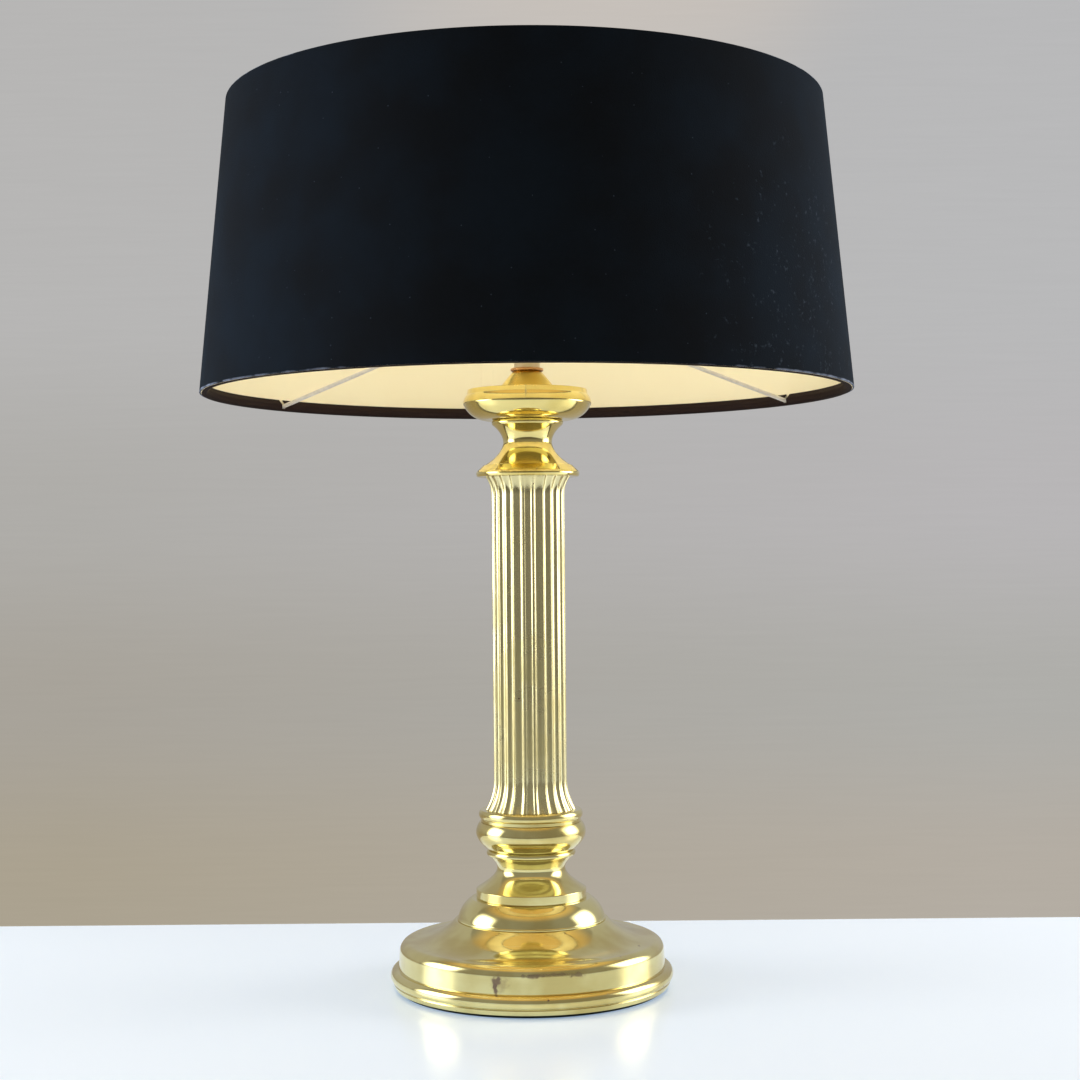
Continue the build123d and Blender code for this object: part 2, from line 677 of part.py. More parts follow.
with BuildPart() as screw_shell:
    with BuildSketch(Plane.XY.offset(insulator_top)):
        Circle(shell_outside)
        Circle(shell_inside, mode=Mode.SUBTRACT)
    extrude(amount=SCREW_SHELL_HEIGHT)
write_part(screw_shell, "screw_shell")

contact_top = insulator_top + CONTACT_RISE
with BuildPart() as centre_contact:
    with BuildSketch(Plane.XZ):
        with BuildLine():
            Polyline(
                (-CONTACT_BASE_REACH, insulator_top),
                (CONTACT_BASE_REACH, insulator_top),
                (CONTACT_BASE_REACH, insulator_top + CONTACT_THICKNESS),
                (-CONTACT_TONGUE_ROOT, insulator_top + CONTACT_THICKNESS),
                (CONTACT_TONGUE_REACH, contact_top - CONTACT_THICKNESS),
                (CONTACT_TONGUE_REACH, contact_top),
                (-CONTACT_TONGUE_ROOT, contact_top),
                (-CONTACT_BASE_REACH, insulator_top + CONTACT_THICKNESS),
                (-CONTACT_BASE_REACH, insulator_top),
            )
        make_face()
    extrude(amount=CONTACT_WIDTH / 2, both=True)
write_part(centre_contact, "centre_contact")


def grip_ring(level, height, bore_radius):
    """A screw ring for the shade, notched all round its edge for the fingers."""
    with BuildPart() as ring:
        with BuildSketch(Plane.XY.offset(level)):
            Circle(RING_GRIP_RADIUS)
            Circle(bore_radius, mode=Mode.SUBTRACT)
            with PolarLocations(RING_GRIP_RADIUS, GRIP_NOTCH_COUNT):
                Circle(GRIP_NOTCH_RADIUS, mode=Mode.SUBTRACT)
        extrude(amount=height)
    return ring


# Shade rings: the lower one fixed on the skirt, the upper one free to turn on it
rest_ring_bottom = holder_cap_top + REST_RING_LEVEL
fitter_bottom = rest_ring_bottom + REST_RING_HEIGHT + RUNNING_GAP
fitter_top = fitter_bottom + FITTER_THICKNESS
shade_rest_ring = grip_ring(rest_ring_bottom, REST_RING_HEIGHT, HOLDER_RADIUS)
write_part(shade_rest_ring, "shade_rest_ring")
shade_clamp_ring = grip_ring(fitter_top + RUNNING_GAP, CLAMP_RING_HEIGHT, HOLDER_RADIUS + RUNNING_GAP)
write_part(shade_clamp_ring, "shade_clamp_ring")


# Bulb: tip, insulator and screw cap of the lamp base, and the opal glass
bulb_tip_bottom = contact_top + RUNNING_GAP
bulb_insulator_bottom = bulb_tip_bottom + BULB_TIP_HEIGHT
bulb_cap_bottom = bulb_insulator_bottom + BULB_INSULATOR_HEIGHT
bulb_cap_top = bulb_cap_bottom + BULB_CAP_HEIGHT
bulb_top = bulb_cap_top + BULB_GLASS_HEIGHT
with BuildPart() as bulb_tip:
    with BuildSketch(Plane.XY.offset(bulb_tip_bottom)):
        Circle(BULB_TIP_RADIUS)
    extrude(amount=BULB_TIP_HEIGHT)
    fillet(bulb_tip.edges().group_by(Axis.Z)[0], radius=BULB_TIP_HEIGHT / 2)
write_part(bulb_tip, "bulb_tip")

with BuildPart() as bulb_insulator:
    with BuildSketch(Plane.XY.offset(bulb_insulator_bottom)):
        Circle(BULB_TIP_RADIUS + BULB_INSULATOR_MARGIN)
    with BuildSketch(Plane.XY.offset(bulb_cap_bottom)):
        Circle(BULB_CAP_RADIUS - BULB_INSULATOR_MARGIN)
    loft()
write_part(bulb_insulator, "bulb_insulator")

with BuildPart() as bulb_cap:
    with BuildSketch(Plane.XY.offset(bulb_cap_bottom)):
        Circle(BULB_CAP_RADIUS)
        Circle(BULB_CAP_RADIUS - BULB_CAP_WALL, mode=Mode.SUBTRACT)
    extrude(amount=BULB_CAP_HEIGHT)
write_part(bulb_cap, "bulb_cap")

with BuildPart() as bulb_glass:
    with BuildSketch(Plane.XZ):
        with BuildLine():
            globe_centre = bulb_top - BULB_RADIUS
            globe_tangent = math.radians(BULB_GLOBE_START_ANGLE)
            globe_meet = (
                BULB_RADIUS * math.cos(globe_tangent),
                globe_centre + BULB_RADIUS * math.sin(globe_tangent),
            )
            Spline(
                (BULB_NECK_RADIUS, bulb_cap_top),
                globe_meet,
                tangents=[(0, 1), (-math.sin(globe_tangent), math.cos(globe_tangent))],
            )
            ThreePointArc(
                globe_meet,
                (BULB_RADIUS * math.cos(math.pi / 4), globe_centre + BULB_RADIUS * math.sin(math.pi / 4)),
                (0, bulb_top),
            )
            Line((0, bulb_top), (0, bulb_top - BULB_GLASS_WALL))
            inner_radius = BULB_RADIUS - BULB_GLASS_WALL
            inner_meet = (
                inner_radius * math.cos(globe_tangent),
                globe_centre + inner_radius * math.sin(globe_tangent),
            )
            ThreePointArc(
                (0, bulb_top - BULB_GLASS_WALL),
                (inner_radius * math.cos(math.pi / 4), globe_centre + inner_radius * math.sin(math.pi / 4)),
                inner_meet,
            )
            Spline(
                inner_meet,
                (BULB_NECK_RADIUS - BULB_GLASS_WALL, bulb_cap_top),
                tangents=[(math.sin(globe_tangent), -math.cos(globe_tangent)), (0, -1)],
            )
            Line((BULB_NECK_RADIUS - BULB_GLASS_WALL, bulb_cap_top), (BULB_NECK_RADIUS, bulb_cap_top))
        make_face()
    revolve(axis=Axis.Z)
write_part(bulb_glass, "bulb_glass")


# Shade: the cover, its lining, and the wire frame: two rings, three struts and the fitter ring
shade_top = SHADE_BOTTOM_LEVEL + SHADE_HEIGHT
lining_depth = FABRIC_THICKNESS + LINING_THICKNESS


def shade_radius(level, depth):
    """Radius of the tapered shade at a level, this deep inside its outer face."""
    share = (level - SHADE_BOTTOM_LEVEL) / SHADE_HEIGHT
    return SHADE_BOTTOM_RADIUS + (SHADE_TOP_RADIUS - SHADE_BOTTOM_RADIUS) * share - depth


def tapered_skin(outer_depth, inner_depth):
    """One thin layer of the shade, between two depths below its outer face."""
    with BuildPart() as skin:
        with BuildSketch(Plane.XZ):
            with BuildLine():
                Polyline(
                    (shade_radius(SHADE_BOTTOM_LEVEL, outer_depth), SHADE_BOTTOM_LEVEL),
                    (shade_radius(shade_top, outer_depth), shade_top),
                    (shade_radius(shade_top, inner_depth), shade_top),
                    (shade_radius(SHADE_BOTTOM_LEVEL, inner_depth), SHADE_BOTTOM_LEVEL),
                    close=True,
                )
            make_face()
        revolve(axis=Axis.Z)
    return skin


shade_cover = tapered_skin(0, FABRIC_THICKNESS)
write_part(shade_cover, "shade_cover")
shade_lining = tapered_skin(FABRIC_THICKNESS, lining_depth)
write_part(shade_lining, "shade_lining")

wire_depth = lining_depth + WIRE_RADIUS + WIRE_GAP
bottom_wire_level = SHADE_BOTTOM_LEVEL + HEM_THICKNESS + WIRE_RADIUS + WIRE_GAP
bottom_wire_radius = shade_radius(bottom_wire_level, wire_depth)
top_wire_level = shade_top - HEM_THICKNESS - WIRE_RADIUS - WIRE_GAP
top_wire_radius = shade_radius(top_wire_level, wire_depth)
strut_root_radius = FITTER_RADIUS - HEM_THICKNESS
strut_root_level = fitter_top - WIRE_RADIUS
strut_reach = bottom_wire_radius - strut_root_radius
strut_drop = strut_root_level - bottom_wire_level
strut_angles = [STRUT_FIRST_ANGLE + 360 / STRUT_COUNT * index for index in range(STRUT_COUNT)]


def wire_ring(radius, level):
    """A plain ring of frame wire about the lamp's axis."""
    with BuildPart() as ring:
        with BuildSketch(Plane.XZ):
            with Locations((radius, level)):
                Circle(WIRE_RADIUS)
        revolve(axis=Axis.Z)
    return ring


shade_bottom_ring = wire_ring(bottom_wire_radius, bottom_wire_level)
write_part(shade_bottom_ring, "shade_bottom_ring")
shade_top_ring = wire_ring(top_wire_radius, top_wire_level)
write_part(shade_top_ring, "shade_top_ring")

with BuildPart() as shade_spider:
    with BuildSketch(Plane.XY.offset(fitter_bottom)):
        Circle(FITTER_RADIUS)
        Circle(FITTER_OPENING_RADIUS, mode=Mode.SUBTRACT)
    extrude(amount=FITTER_THICKNESS)
    for strut_angle in strut_angles:
        outward = Vector(1, 0, 0).rotate(Axis.Z, strut_angle)
        strut_plane = Plane(
            origin=outward * strut_root_radius + Vector(0, 0, strut_root_level),
            z_dir=outward * strut_reach - Vector(0, 0, strut_drop),
        )
        with BuildSketch(strut_plane):
            Circle(WIRE_RADIUS)
        extrude(amount=math.hypot(strut_reach, strut_drop))
    add(shade_bottom_ring.part, mode=Mode.SUBTRACT)
write_part(shade_spider, "shade_spider")


def hem_tape(rim_level, inward):
    """The tape folded round a wire at one rim; inward is +1 upwards or -1 downwards."""
    fold_level = rim_level + inward * (2 * HEM_THICKNESS + 2 * WIRE_RADIUS + 2 * WIRE_GAP)
    end_level = rim_level + inward * HEM_HEIGHT
    lap_level = end_level - inward * HEM_THICKNESS
    turn_level = rim_level + inward * HEM_THICKNESS
    fold_depth = lining_depth + 2 * WIRE_RADIUS + 2 * WIRE_GAP
    outer_corner = (shade_radius(rim_level, lining_depth), rim_level)
    inner_corner = (shade_radius(rim_level, fold_depth + HEM_THICKNESS), rim_level)
    with BuildPart() as tape:
        with BuildSketch(Plane.XZ):
            with BuildLine():
                Polyline(
                    outer_corner,
                    inner_corner,
                    (shade_radius(fold_level, fold_depth + HEM_THICKNESS), fold_level),
                    (shade_radius(end_level, lining_depth + HEM_THICKNESS), end_level),
                    (shade_radius(end_level, lining_depth), end_level),
                    (shade_radius(lap_level, lining_depth), lap_level),
                    (shade_radius(fold_level, fold_depth), fold_level - inward * HEM_THICKNESS),
                    (shade_radius(rim_level, fold_depth), rim_level + inward * HEM_THICKNESS),
                    (shade_radius(turn_level, lining_depth), turn_level),
                    close=True,
                )
            make_face()
        revolve(axis=Axis.Z)
    return tape


# Hems: the bottom one is notched where the struts pass
bottom_hem = hem_tape(SHADE_BOTTOM_LEVEL, 1)
with BuildPart() as notched_hem:
    add(bottom_hem.part)
    notch_centre = shade_radius(SHADE_BOTTOM_LEVEL, lining_depth + 2 * WIRE_RADIUS)
    with BuildSketch(Plane.XY.offset(bottom_wire_level - WIRE_RADIUS)):
        with PolarLocations(notch_centre, STRUT_COUNT, start_angle=STRUT_FIRST_ANGLE):
            Rectangle(HEM_NOTCH_DEPTH, HEM_NOTCH_WIDTH)
    extrude(amount=HEM_HEIGHT, mode=Mode.SUBTRACT)
write_part(notched_hem, "bottom_hem")
top_hem = hem_tape(shade_top, -1)
write_part(top_hem, "top_hem")
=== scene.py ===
"""Column table lamp, dressed: turned brass, a lined velvet drum shade and a lit opal bulb.

The scene is in metres and the size fields are in millimetres.  +Z is up and the front
faces -Y.  Each sub-assembly is a class that models its pieces, gives them their
finishes and hands them to the body that carries them.
"""

import logging
import math
from collections.abc import Callable
from dataclasses import dataclass
from enum import Enum

import bmesh
import bpy
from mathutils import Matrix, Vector


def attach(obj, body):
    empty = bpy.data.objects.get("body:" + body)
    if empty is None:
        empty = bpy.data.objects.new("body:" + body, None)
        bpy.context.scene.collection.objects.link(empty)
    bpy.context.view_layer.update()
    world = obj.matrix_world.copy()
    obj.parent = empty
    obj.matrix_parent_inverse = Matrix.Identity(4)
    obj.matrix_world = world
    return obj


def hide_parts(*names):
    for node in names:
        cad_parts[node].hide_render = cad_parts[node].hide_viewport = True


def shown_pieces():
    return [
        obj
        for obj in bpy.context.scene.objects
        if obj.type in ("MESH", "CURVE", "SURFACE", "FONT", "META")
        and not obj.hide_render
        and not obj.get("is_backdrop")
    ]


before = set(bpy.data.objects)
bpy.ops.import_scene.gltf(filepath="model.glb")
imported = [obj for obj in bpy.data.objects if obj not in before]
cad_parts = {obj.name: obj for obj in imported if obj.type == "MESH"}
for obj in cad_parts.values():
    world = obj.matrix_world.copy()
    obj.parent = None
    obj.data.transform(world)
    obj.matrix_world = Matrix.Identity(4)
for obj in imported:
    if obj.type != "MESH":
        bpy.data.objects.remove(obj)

Point = tuple[float, float]
Spot = tuple[float, float, float]
Colour = tuple[float, float, float, float]
Piece = bpy.types.Object
Material = bpy.types.Material
Tree = bpy.types.NodeTree
Node = bpy.types.Node
Socket = bpy.types.NodeSocket
Feed = float | Spot | Colour | Node | Socket

MM = 0.001
ROUND_STEPS = 192
WELD = 2e-6
LOOSE_WELD = 1e-5
# A threaded sleeve stands this far over the thread's root, so that the two cross and leave no gap.
THREAD_LAP = 0.05
log = logging.getLogger("column_table_lamp")


class Body(Enum):
    """The bodies of the frame that carry the modelled pieces."""

    STAND = "root"
    BULB = "bulb"
    SHADE = "shade"


# ---------------------------------------------------------------------------
# Half sections and the lathe
# ---------------------------------------------------------------------------


@dataclass
class Outline:
    """The half section of a turned piece, drawn from corner to corner as (radius, level)."""

    points: list[Point]

    def to(self, *corners: Point) -> "Outline":
        """Runs straight to each corner in turn."""
        self.points.extend(corners)
        return self

    def through(self, middle: Point, end: Point, steps: int = 12) -> "Outline":
        """Swings an arc through a point.

        Args:
            middle: A point that the arc passes.
            end: Where the arc stops.
            steps: How many straight runs stand for it.

        Returns:
            The same outline, so that calls can be chained.
        """
        (ax, ay), (bx, by), (cx, cy) = self.points[-1], middle, end
        twice_area = 2.0 * (ax * (by - cy) + bx * (cy - ay) + cx * (ay - by))
        a2, b2, c2 = ax * ax + ay * ay, bx * bx + by * by, cx * cx + cy * cy
        ox = (a2 * (by - cy) + b2 * (cy - ay) + c2 * (ay - by)) / twice_area
        oy = (a2 * (cx - bx) + b2 * (ax - cx) + c2 * (bx - ax)) / twice_area
        radius = math.hypot(ax - ox, ay - oy)
        start = math.atan2(ay - oy, ax - ox)
        turn_middle = (math.atan2(by - oy, bx - ox) - start) % math.tau
        turn_end = (math.atan2(cy - oy, cx - ox) - start) % math.tau
        sweep = turn_end if turn_middle < turn_end else turn_end - math.tau
        for step in range(1, steps):
            angle = start + sweep * step / steps
            self.points.append((ox + radius * math.cos(angle), oy + radius * math.sin(angle)))
        return self.to(end)

    def swing(self, end: Point, radius: float, steps: int = 6) -> "Outline":
        """Swings an arc of a known radius.

        Args:
            end: Where the arc stops.
            radius: Its radius; above zero it bulges to the right of the way it travels.
            steps: How many straight runs stand for it.

        Returns:
            The same outline.
        """
        (ax, ay), (bx, by) = self.points[-1], end
        chord = math.hypot(bx - ax, by - ay)
        rise = abs(radius) - math.sqrt(max(radius * radius - chord * chord / 4.0, 0.0))
        side = math.copysign(rise / chord, radius)
        middle = ((ax + bx) / 2.0 + (by - ay) * side, (ay + by) / 2.0 - (bx - ax) * side)
        return self.through(middle, end, steps)

    def lead(self, heading: Point, end: Point, steps: int = 16) -> "Outline":
        """Swings an arc that sets off in a known direction.

        Args:
            heading: The direction at its start.
            end: Where the arc stops.
            steps: How many straight runs stand for it.

        Returns:
            The same outline.
        """
        ax, ay = self.points[-1]
        length = math.hypot(*heading)
        nx, ny = -heading[1] / length, heading[0] / length
        dx, dy = end[0] - ax, end[1] - ay
        radius = (dx * dx + dy * dy) / (2.0 * (nx * dx + ny * dy))
        ox, oy = ax + nx * radius, ay + ny * radius
        mx, my = ax + dx / 2.0 - ox, ay + dy / 2.0 - oy
        scale = abs(radius) / math.hypot(mx, my)
        return self.through((ox + mx * scale, oy + my * scale), end, steps)

    def flow(self, heading: Point, middle: Point, end: Point, arrival: Point, steps: int = 18) -> "Outline":
        """Runs a smooth waist or swelling through one point.

        Args:
            heading: The direction at its start.
            middle: The point that it passes.
            end: Where it stops.
            arrival: The direction at its end.
            steps: How many straight runs each half has.

        Returns:
            The same outline.
        """
        first, second, third = Vector(self.points[-1]), Vector(middle), Vector(end)
        h0, h1 = (second - first).length, (third - second).length
        t0, t2 = Vector(heading).normalized(), Vector(arrival).normalized()
        pull = 3.0 * ((second - first) * (h1 / h0) + (third - second) * (h0 / h1))
        t1 = (pull - t0 * h1 - t2 * h0) / (2.0 * (h0 + h1))
        for a, b, ta, tb, span in ((first, second, t0, t1, h0), (second, third, t1, t2, h1)):
            for step in range(1, steps + 1):
                s = step / steps
                spot = (
                    a * (2 * s**3 - 3 * s**2 + 1)
                    + ta * (span * (s**3 - 2 * s**2 + s))
                    + b * (3 * s**2 - 2 * s**3)
                    + tb * (span * (s**3 - s**2))
                )
                self.points.append((spot.x, spot.y))
        return self

    def close(self) -> "Outline":
        """Runs back to where the outline began."""
        return self.to(self.points[0])


def select_only(piece: Piece) -> None:
    """Selects one piece and makes it the active one.

    Args:
        piece: The piece to work on.
    """
    bpy.ops.object.select_all(action="DESELECT")
    piece.select_set(True)
    bpy.context.view_layer.objects.active = piece


def start_drawing(name: str, first: Vector) -> Piece:
    """Leaves one vertex in edit mode, ready to be extruded.

    Args:
        name: The new piece's name.
        first: Where the vertex lies, in metres.

    Returns:
        The piece, still in edit mode.
    """
    bpy.ops.object.select_all(action="DESELECT")
    bpy.ops.mesh.primitive_plane_add(size=MM, location=(0.0, 0.0, 0.0))
    piece = bpy.context.active_object
    piece.name = piece.data.name = name
    bpy.ops.object.mode_set(mode="EDIT")
    bpy.ops.mesh.select_mode(type="VERT")
    bpy.ops.mesh.select_all(action="SELECT")
    bpy.ops.mesh.merge(type="CENTER")
    bpy.ops.transform.translate(value=first)
    return piece


def draw_on(start: Vector, stops: list[Vector]) -> None:
    """Extrudes the live vertex from stop to stop.

    Args:
        start: Where the vertex is.
        stops: Where each extrusion ends.
    """
    here = start
    for stop in stops:
        bpy.ops.mesh.extrude_vertices_move(TRANSFORM_OT_translate={"value": stop - here})
        here = stop


def weld_and_leave() -> None:
    """Welds what touches, turns the faces outwards and leaves edit mode."""
    bpy.ops.mesh.select_all(action="SELECT")
    bpy.ops.mesh.remove_doubles(threshold=WELD)
    bpy.ops.mesh.normals_make_consistent(inside=False)
    bpy.ops.mesh.select_all(action="DESELECT")
    bpy.ops.object.mode_set(mode="OBJECT")


def apply_all(piece: Piece) -> None:
    """Applies every modifier on a piece, in order.

    Args:
        piece: The piece that has them.
    """
    select_only(piece)
    for modifier in list(piece.modifiers):
        bpy.ops.object.modifier_apply(modifier=modifier.name)


def thicken(piece: Piece, wall: float) -> None:
    """Gives an open skin a wall, inwards.

    Args:
        piece: The skin.
        wall: The thickness in millimetres.
    """
    skin = piece.modifiers.new("wall", "SOLIDIFY")
    skin.thickness = wall * MM
    skin.offset = -1.0
    skin.use_even_offset = True
    apply_all(piece)


def soften(piece: Piece, width: float, segments: int = 3, sharp: float = 32.0) -> None:
    """Rounds the sharp edges and shades the rest smooth.

    Args:
        piece: The piece to finish.
        width: How far each rounding reaches, in millimetres.
        segments: How many facets each rounding has.
        sharp: The least angle between faces that is rounded, in degrees.
    """
    select_only(piece)
    bpy.ops.object.shade_smooth_by_angle(angle=math.radians(60.0))
    round_off = piece.modifiers.new("round", "BEVEL")
    round_off.width = width * MM
    round_off.segments = segments
    round_off.limit_method = "ANGLE"
    round_off.angle_limit = math.radians(sharp)
    round_off.use_clamp_overlap = True
    round_off.harden_normals = False
    even = piece.modifiers.new("even", "WEIGHTED_NORMAL")
    even.keep_sharp = False
    even.weight = 50
    apply_all(piece)


def turn(name: str, outline: Outline, steps: int = ROUND_STEPS) -> Piece:
    """Spins a half section round the lamp's axis.

    Args:
        name: The new piece's name.
        outline: Its half section, in millimetres.
        steps: How many facets it has round the axis.

    Returns:
        The turned piece, in object mode.
    """
    stops = [Vector((radius * MM, 0.0, level * MM)) for radius, level in outline.points]
    piece = start_drawing(name, stops[0])
    draw_on(stops[0], stops[1:])
    bpy.ops.mesh.select_all(action="SELECT")
    bpy.ops.mesh.spin(steps=steps, angle=math.tau, center=(0.0, 0.0, 0.0), axis=(0.0, 0.0, 1.0))
    weld_and_leave()
    return piece


def turn_off(
    name: str,
    outline: Outline,
    rounding: float,
    segments: int = 3,
    wall: float = 0.0,
    steps: int = ROUND_STEPS,
) -> Piece:
    """Turns a piece, gives it a wall if it is a shell, and rounds its edges.

    Args:
        name: The new piece's name.
        outline: Its half section, in millimetres: closed, or one skin for a shell.
        rounding: How far each rounding reaches, in millimetres.
        segments: How many facets each rounding has.
        wall: The shell's thickness, or nought for a solid piece.
        steps: How many facets it has round the axis.

    Returns:
        The finished piece.
    """
    piece = turn(name, outline, steps)
    if wall:
        thicken(piece, wall)
    soften(piece, rounding, segments)
    return piece


def join(pieces: list[Piece], name: str) -> Piece:
    """Joins several meshes into one piece.

    Args:
        pieces: What is joined, the first one kept.
        name: The name of the result.

    Returns:
        The joined piece.
    """
    select_only(pieces[0])
    for piece in pieces:
        piece.select_set(True)
    bpy.ops.object.join()
    joined = bpy.context.active_object
    joined.name = joined.data.name = name
    return joined


def pick_faces(piece: Piece, wanted: Callable[[bmesh.types.BMFace], bool]) -> None:
    """Selects the faces of the piece in edit mode that a test accepts.

    Args:
        piece: The piece, in edit mode.
        wanted: Says of a face whether it is picked.
    """
    mesh = bmesh.from_edit_mesh(piece.data)
    bpy.ops.mesh.select_mode(type="FACE")
    for face in mesh.faces:
        face.select_set(bool(wanted(face)))
    bmesh.update_edit_mesh(piece.data)


def cut_thread(name: str, crest: float, depth: float, pitch: float, low: float, turns: int) -> Piece:
    """Winds a rounded thread up a sleeve.

    Args:
        name: The new piece's name.
        crest: The radius over the thread, in millimetres.
        depth: How deep the thread is.
        pitch: How far it climbs in one turn.
        low: The level at which it starts.
        turns: How many turns it has.

    Returns:
        The helical ridge, open at both ends.
    """
    root, flank = crest - depth, crest - depth * 0.3
    radii = (root, root, flank, crest, crest, flank, root, root)
    shares = (0.0, 0.18, 0.34, 0.46, 0.56, 0.68, 0.84, 1.0)
    stops = [Vector((radius * MM, 0.0, (low + share * pitch) * MM)) for radius, share in zip(radii, shares)]
    piece = start_drawing(name, stops[0])
    draw_on(stops[0], stops[1:])
    bpy.ops.object.mode_set(mode="OBJECT")
    wind = piece.modifiers.new("wind", "SCREW")
    wind.screw_offset = pitch * MM
    wind.iterations = turns
    wind.steps = wind.render_steps = 72
    wind.use_merge_vertices = True
    apply_all(piece)
    bpy.ops.object.mode_set(mode="EDIT")
    weld_and_leave()
    return piece


# ---------------------------------------------------------------------------
# Finishes
# ---------------------------------------------------------------------------


def linear(hex_colour: str) -> Colour:
    """Turns an sRGB hex colour into the linear values that a shader takes.

    Args:
        hex_colour: Such as "#c9b060".

    Returns:
        Red, green, blue and an alpha of one.
    """
    parts = [int(hex_colour[i : i + 2], 16) / 255.0 for i in (1, 3, 5)]
    red, green, blue = (c / 12.92 if c <= 0.04045 else ((c + 0.055) / 1.055) ** 2.4 for c in parts)
    return red, green, blue, 1.0


def fill(tree: Tree, node: Node, inputs: dict[str | int, Feed]) -> None:
    """Sets or links a node's inputs.

    Args:
        tree: The tree that the node is in.
        node: The node.
        inputs: By name or number, a plain value, a socket, or a node whose first live output is meant.
    """
    for name, feed in inputs.items():
        if isinstance(feed, Node):
            feed = next(socket for socket in feed.outputs if socket.enabled)
        if isinstance(feed, Socket):
            tree.links.new(feed, node.inputs[name])
        else:
            node.inputs[name].default_value = feed


def add_node(tree: Tree, kind: str, inputs: dict[str | int, Feed] | None = None, **options: object) -> Node:
    """Adds one node with its settings and links.

    Args:
        tree: The tree that it goes into.
        kind: The node's type, without the words that all types begin with.
        inputs: What each input gets, as for fill.
        options: The node's own options.

    Returns:
        The new node.
    """
    node = tree.nodes.new("ShaderNode" + kind)
    for option, value in options.items():
        setattr(node, option, value)
    fill(tree, node, inputs or {})
    return node


@dataclass(frozen=True)
class Finish:
    """What a surface is made of; each kind below paints its own nodes."""

    name: str
    colour: str
    roughness: float = 0.5
    metallic: float = 0.0

    def material(self) -> Material:
        """Makes the material once and gives the same one again.

        Returns:
            The finished material.
        """
        made = bpy.data.materials.get(self.name)
        if made is not None:
            return made
        made = bpy.data.materials.new(self.name)
        made.use_nodes = True
        made.diffuse_color = linear(self.colour)
        tree = made.node_tree
        skin = tree.nodes["Principled BSDF"]
        plain = {"Base Color": linear(self.colour), "Roughness": self.roughness, "Metallic": self.metallic}
        fill(tree, skin, plain)
        self.paint(tree, skin)
        return made

    def paint(self, tree: Tree, skin: Node) -> None:
        """Adds the detail of this finish; the plain one has none."""

    def blotches(
        self, tree: Tree, where: Socket, grain: float, low: float, high: float, detail: float = 3.0
    ) -> Node:
        """Makes a mask of scattered blotches with soft edges.

        Args:
            tree: The material's tree.
            where: The coordinates in metres.
            grain: The blotches' spacing in millimetres.
            low: The noise value where the mask is still nought.
            high: The noise value where it is one.
            detail: How many finer layers the noise has.

        Returns:
            The node that gives the mask.
        """
        noise = add_node(tree, "TexNoise", {"Scale": 1.0 / (grain * MM), "Detail": detail, "Vector": where})
        reach = {"Value": noise, "From Min": low, "From Max": high}
        return add_node(tree, "MapRange", reach, interpolation_type="SMOOTHSTEP")


@dataclass(frozen=True)
class Mark:
    """One ragged patch: where it is, how far it reaches and how strong it is."""

    centre: Spot
    reach: Spot
    depth: float = 1.0

    def mask(self, tree: Tree, place: Socket, ragged: Node) -> Node:
        """Makes the patch's mask.

        Args:
            tree: The material's tree.
            place: The coordinates in metres.
            ragged: A noise that frays its edge.

        Returns:
            The node that gives the mask, from nought to the patch's depth.
        """
        centre = tuple(part * MM for part in self.centre)
        shrink = tuple(1.0 / (part * MM) for part in self.reach)
        away = add_node(tree, "VectorMath", {0: place, 1: centre}, operation="SUBTRACT")
        near = add_node(tree, "VectorMath", {0: away, 1: shrink}, operation="MULTIPLY")
        span = add_node(tree, "VectorMath", {0: near}, operation="LENGTH")
        frayed = add_node(tree, "Math", {0: ragged, 1: 2.2, 2: span}, operation="MULTIPLY_ADD")
        reach = {"Value": frayed, "From Min": 2.2, "From Max": 1.5, "To Max": self.depth}
        return add_node(tree, "MapRange", reach, interpolation_type="SMOOTHSTEP")


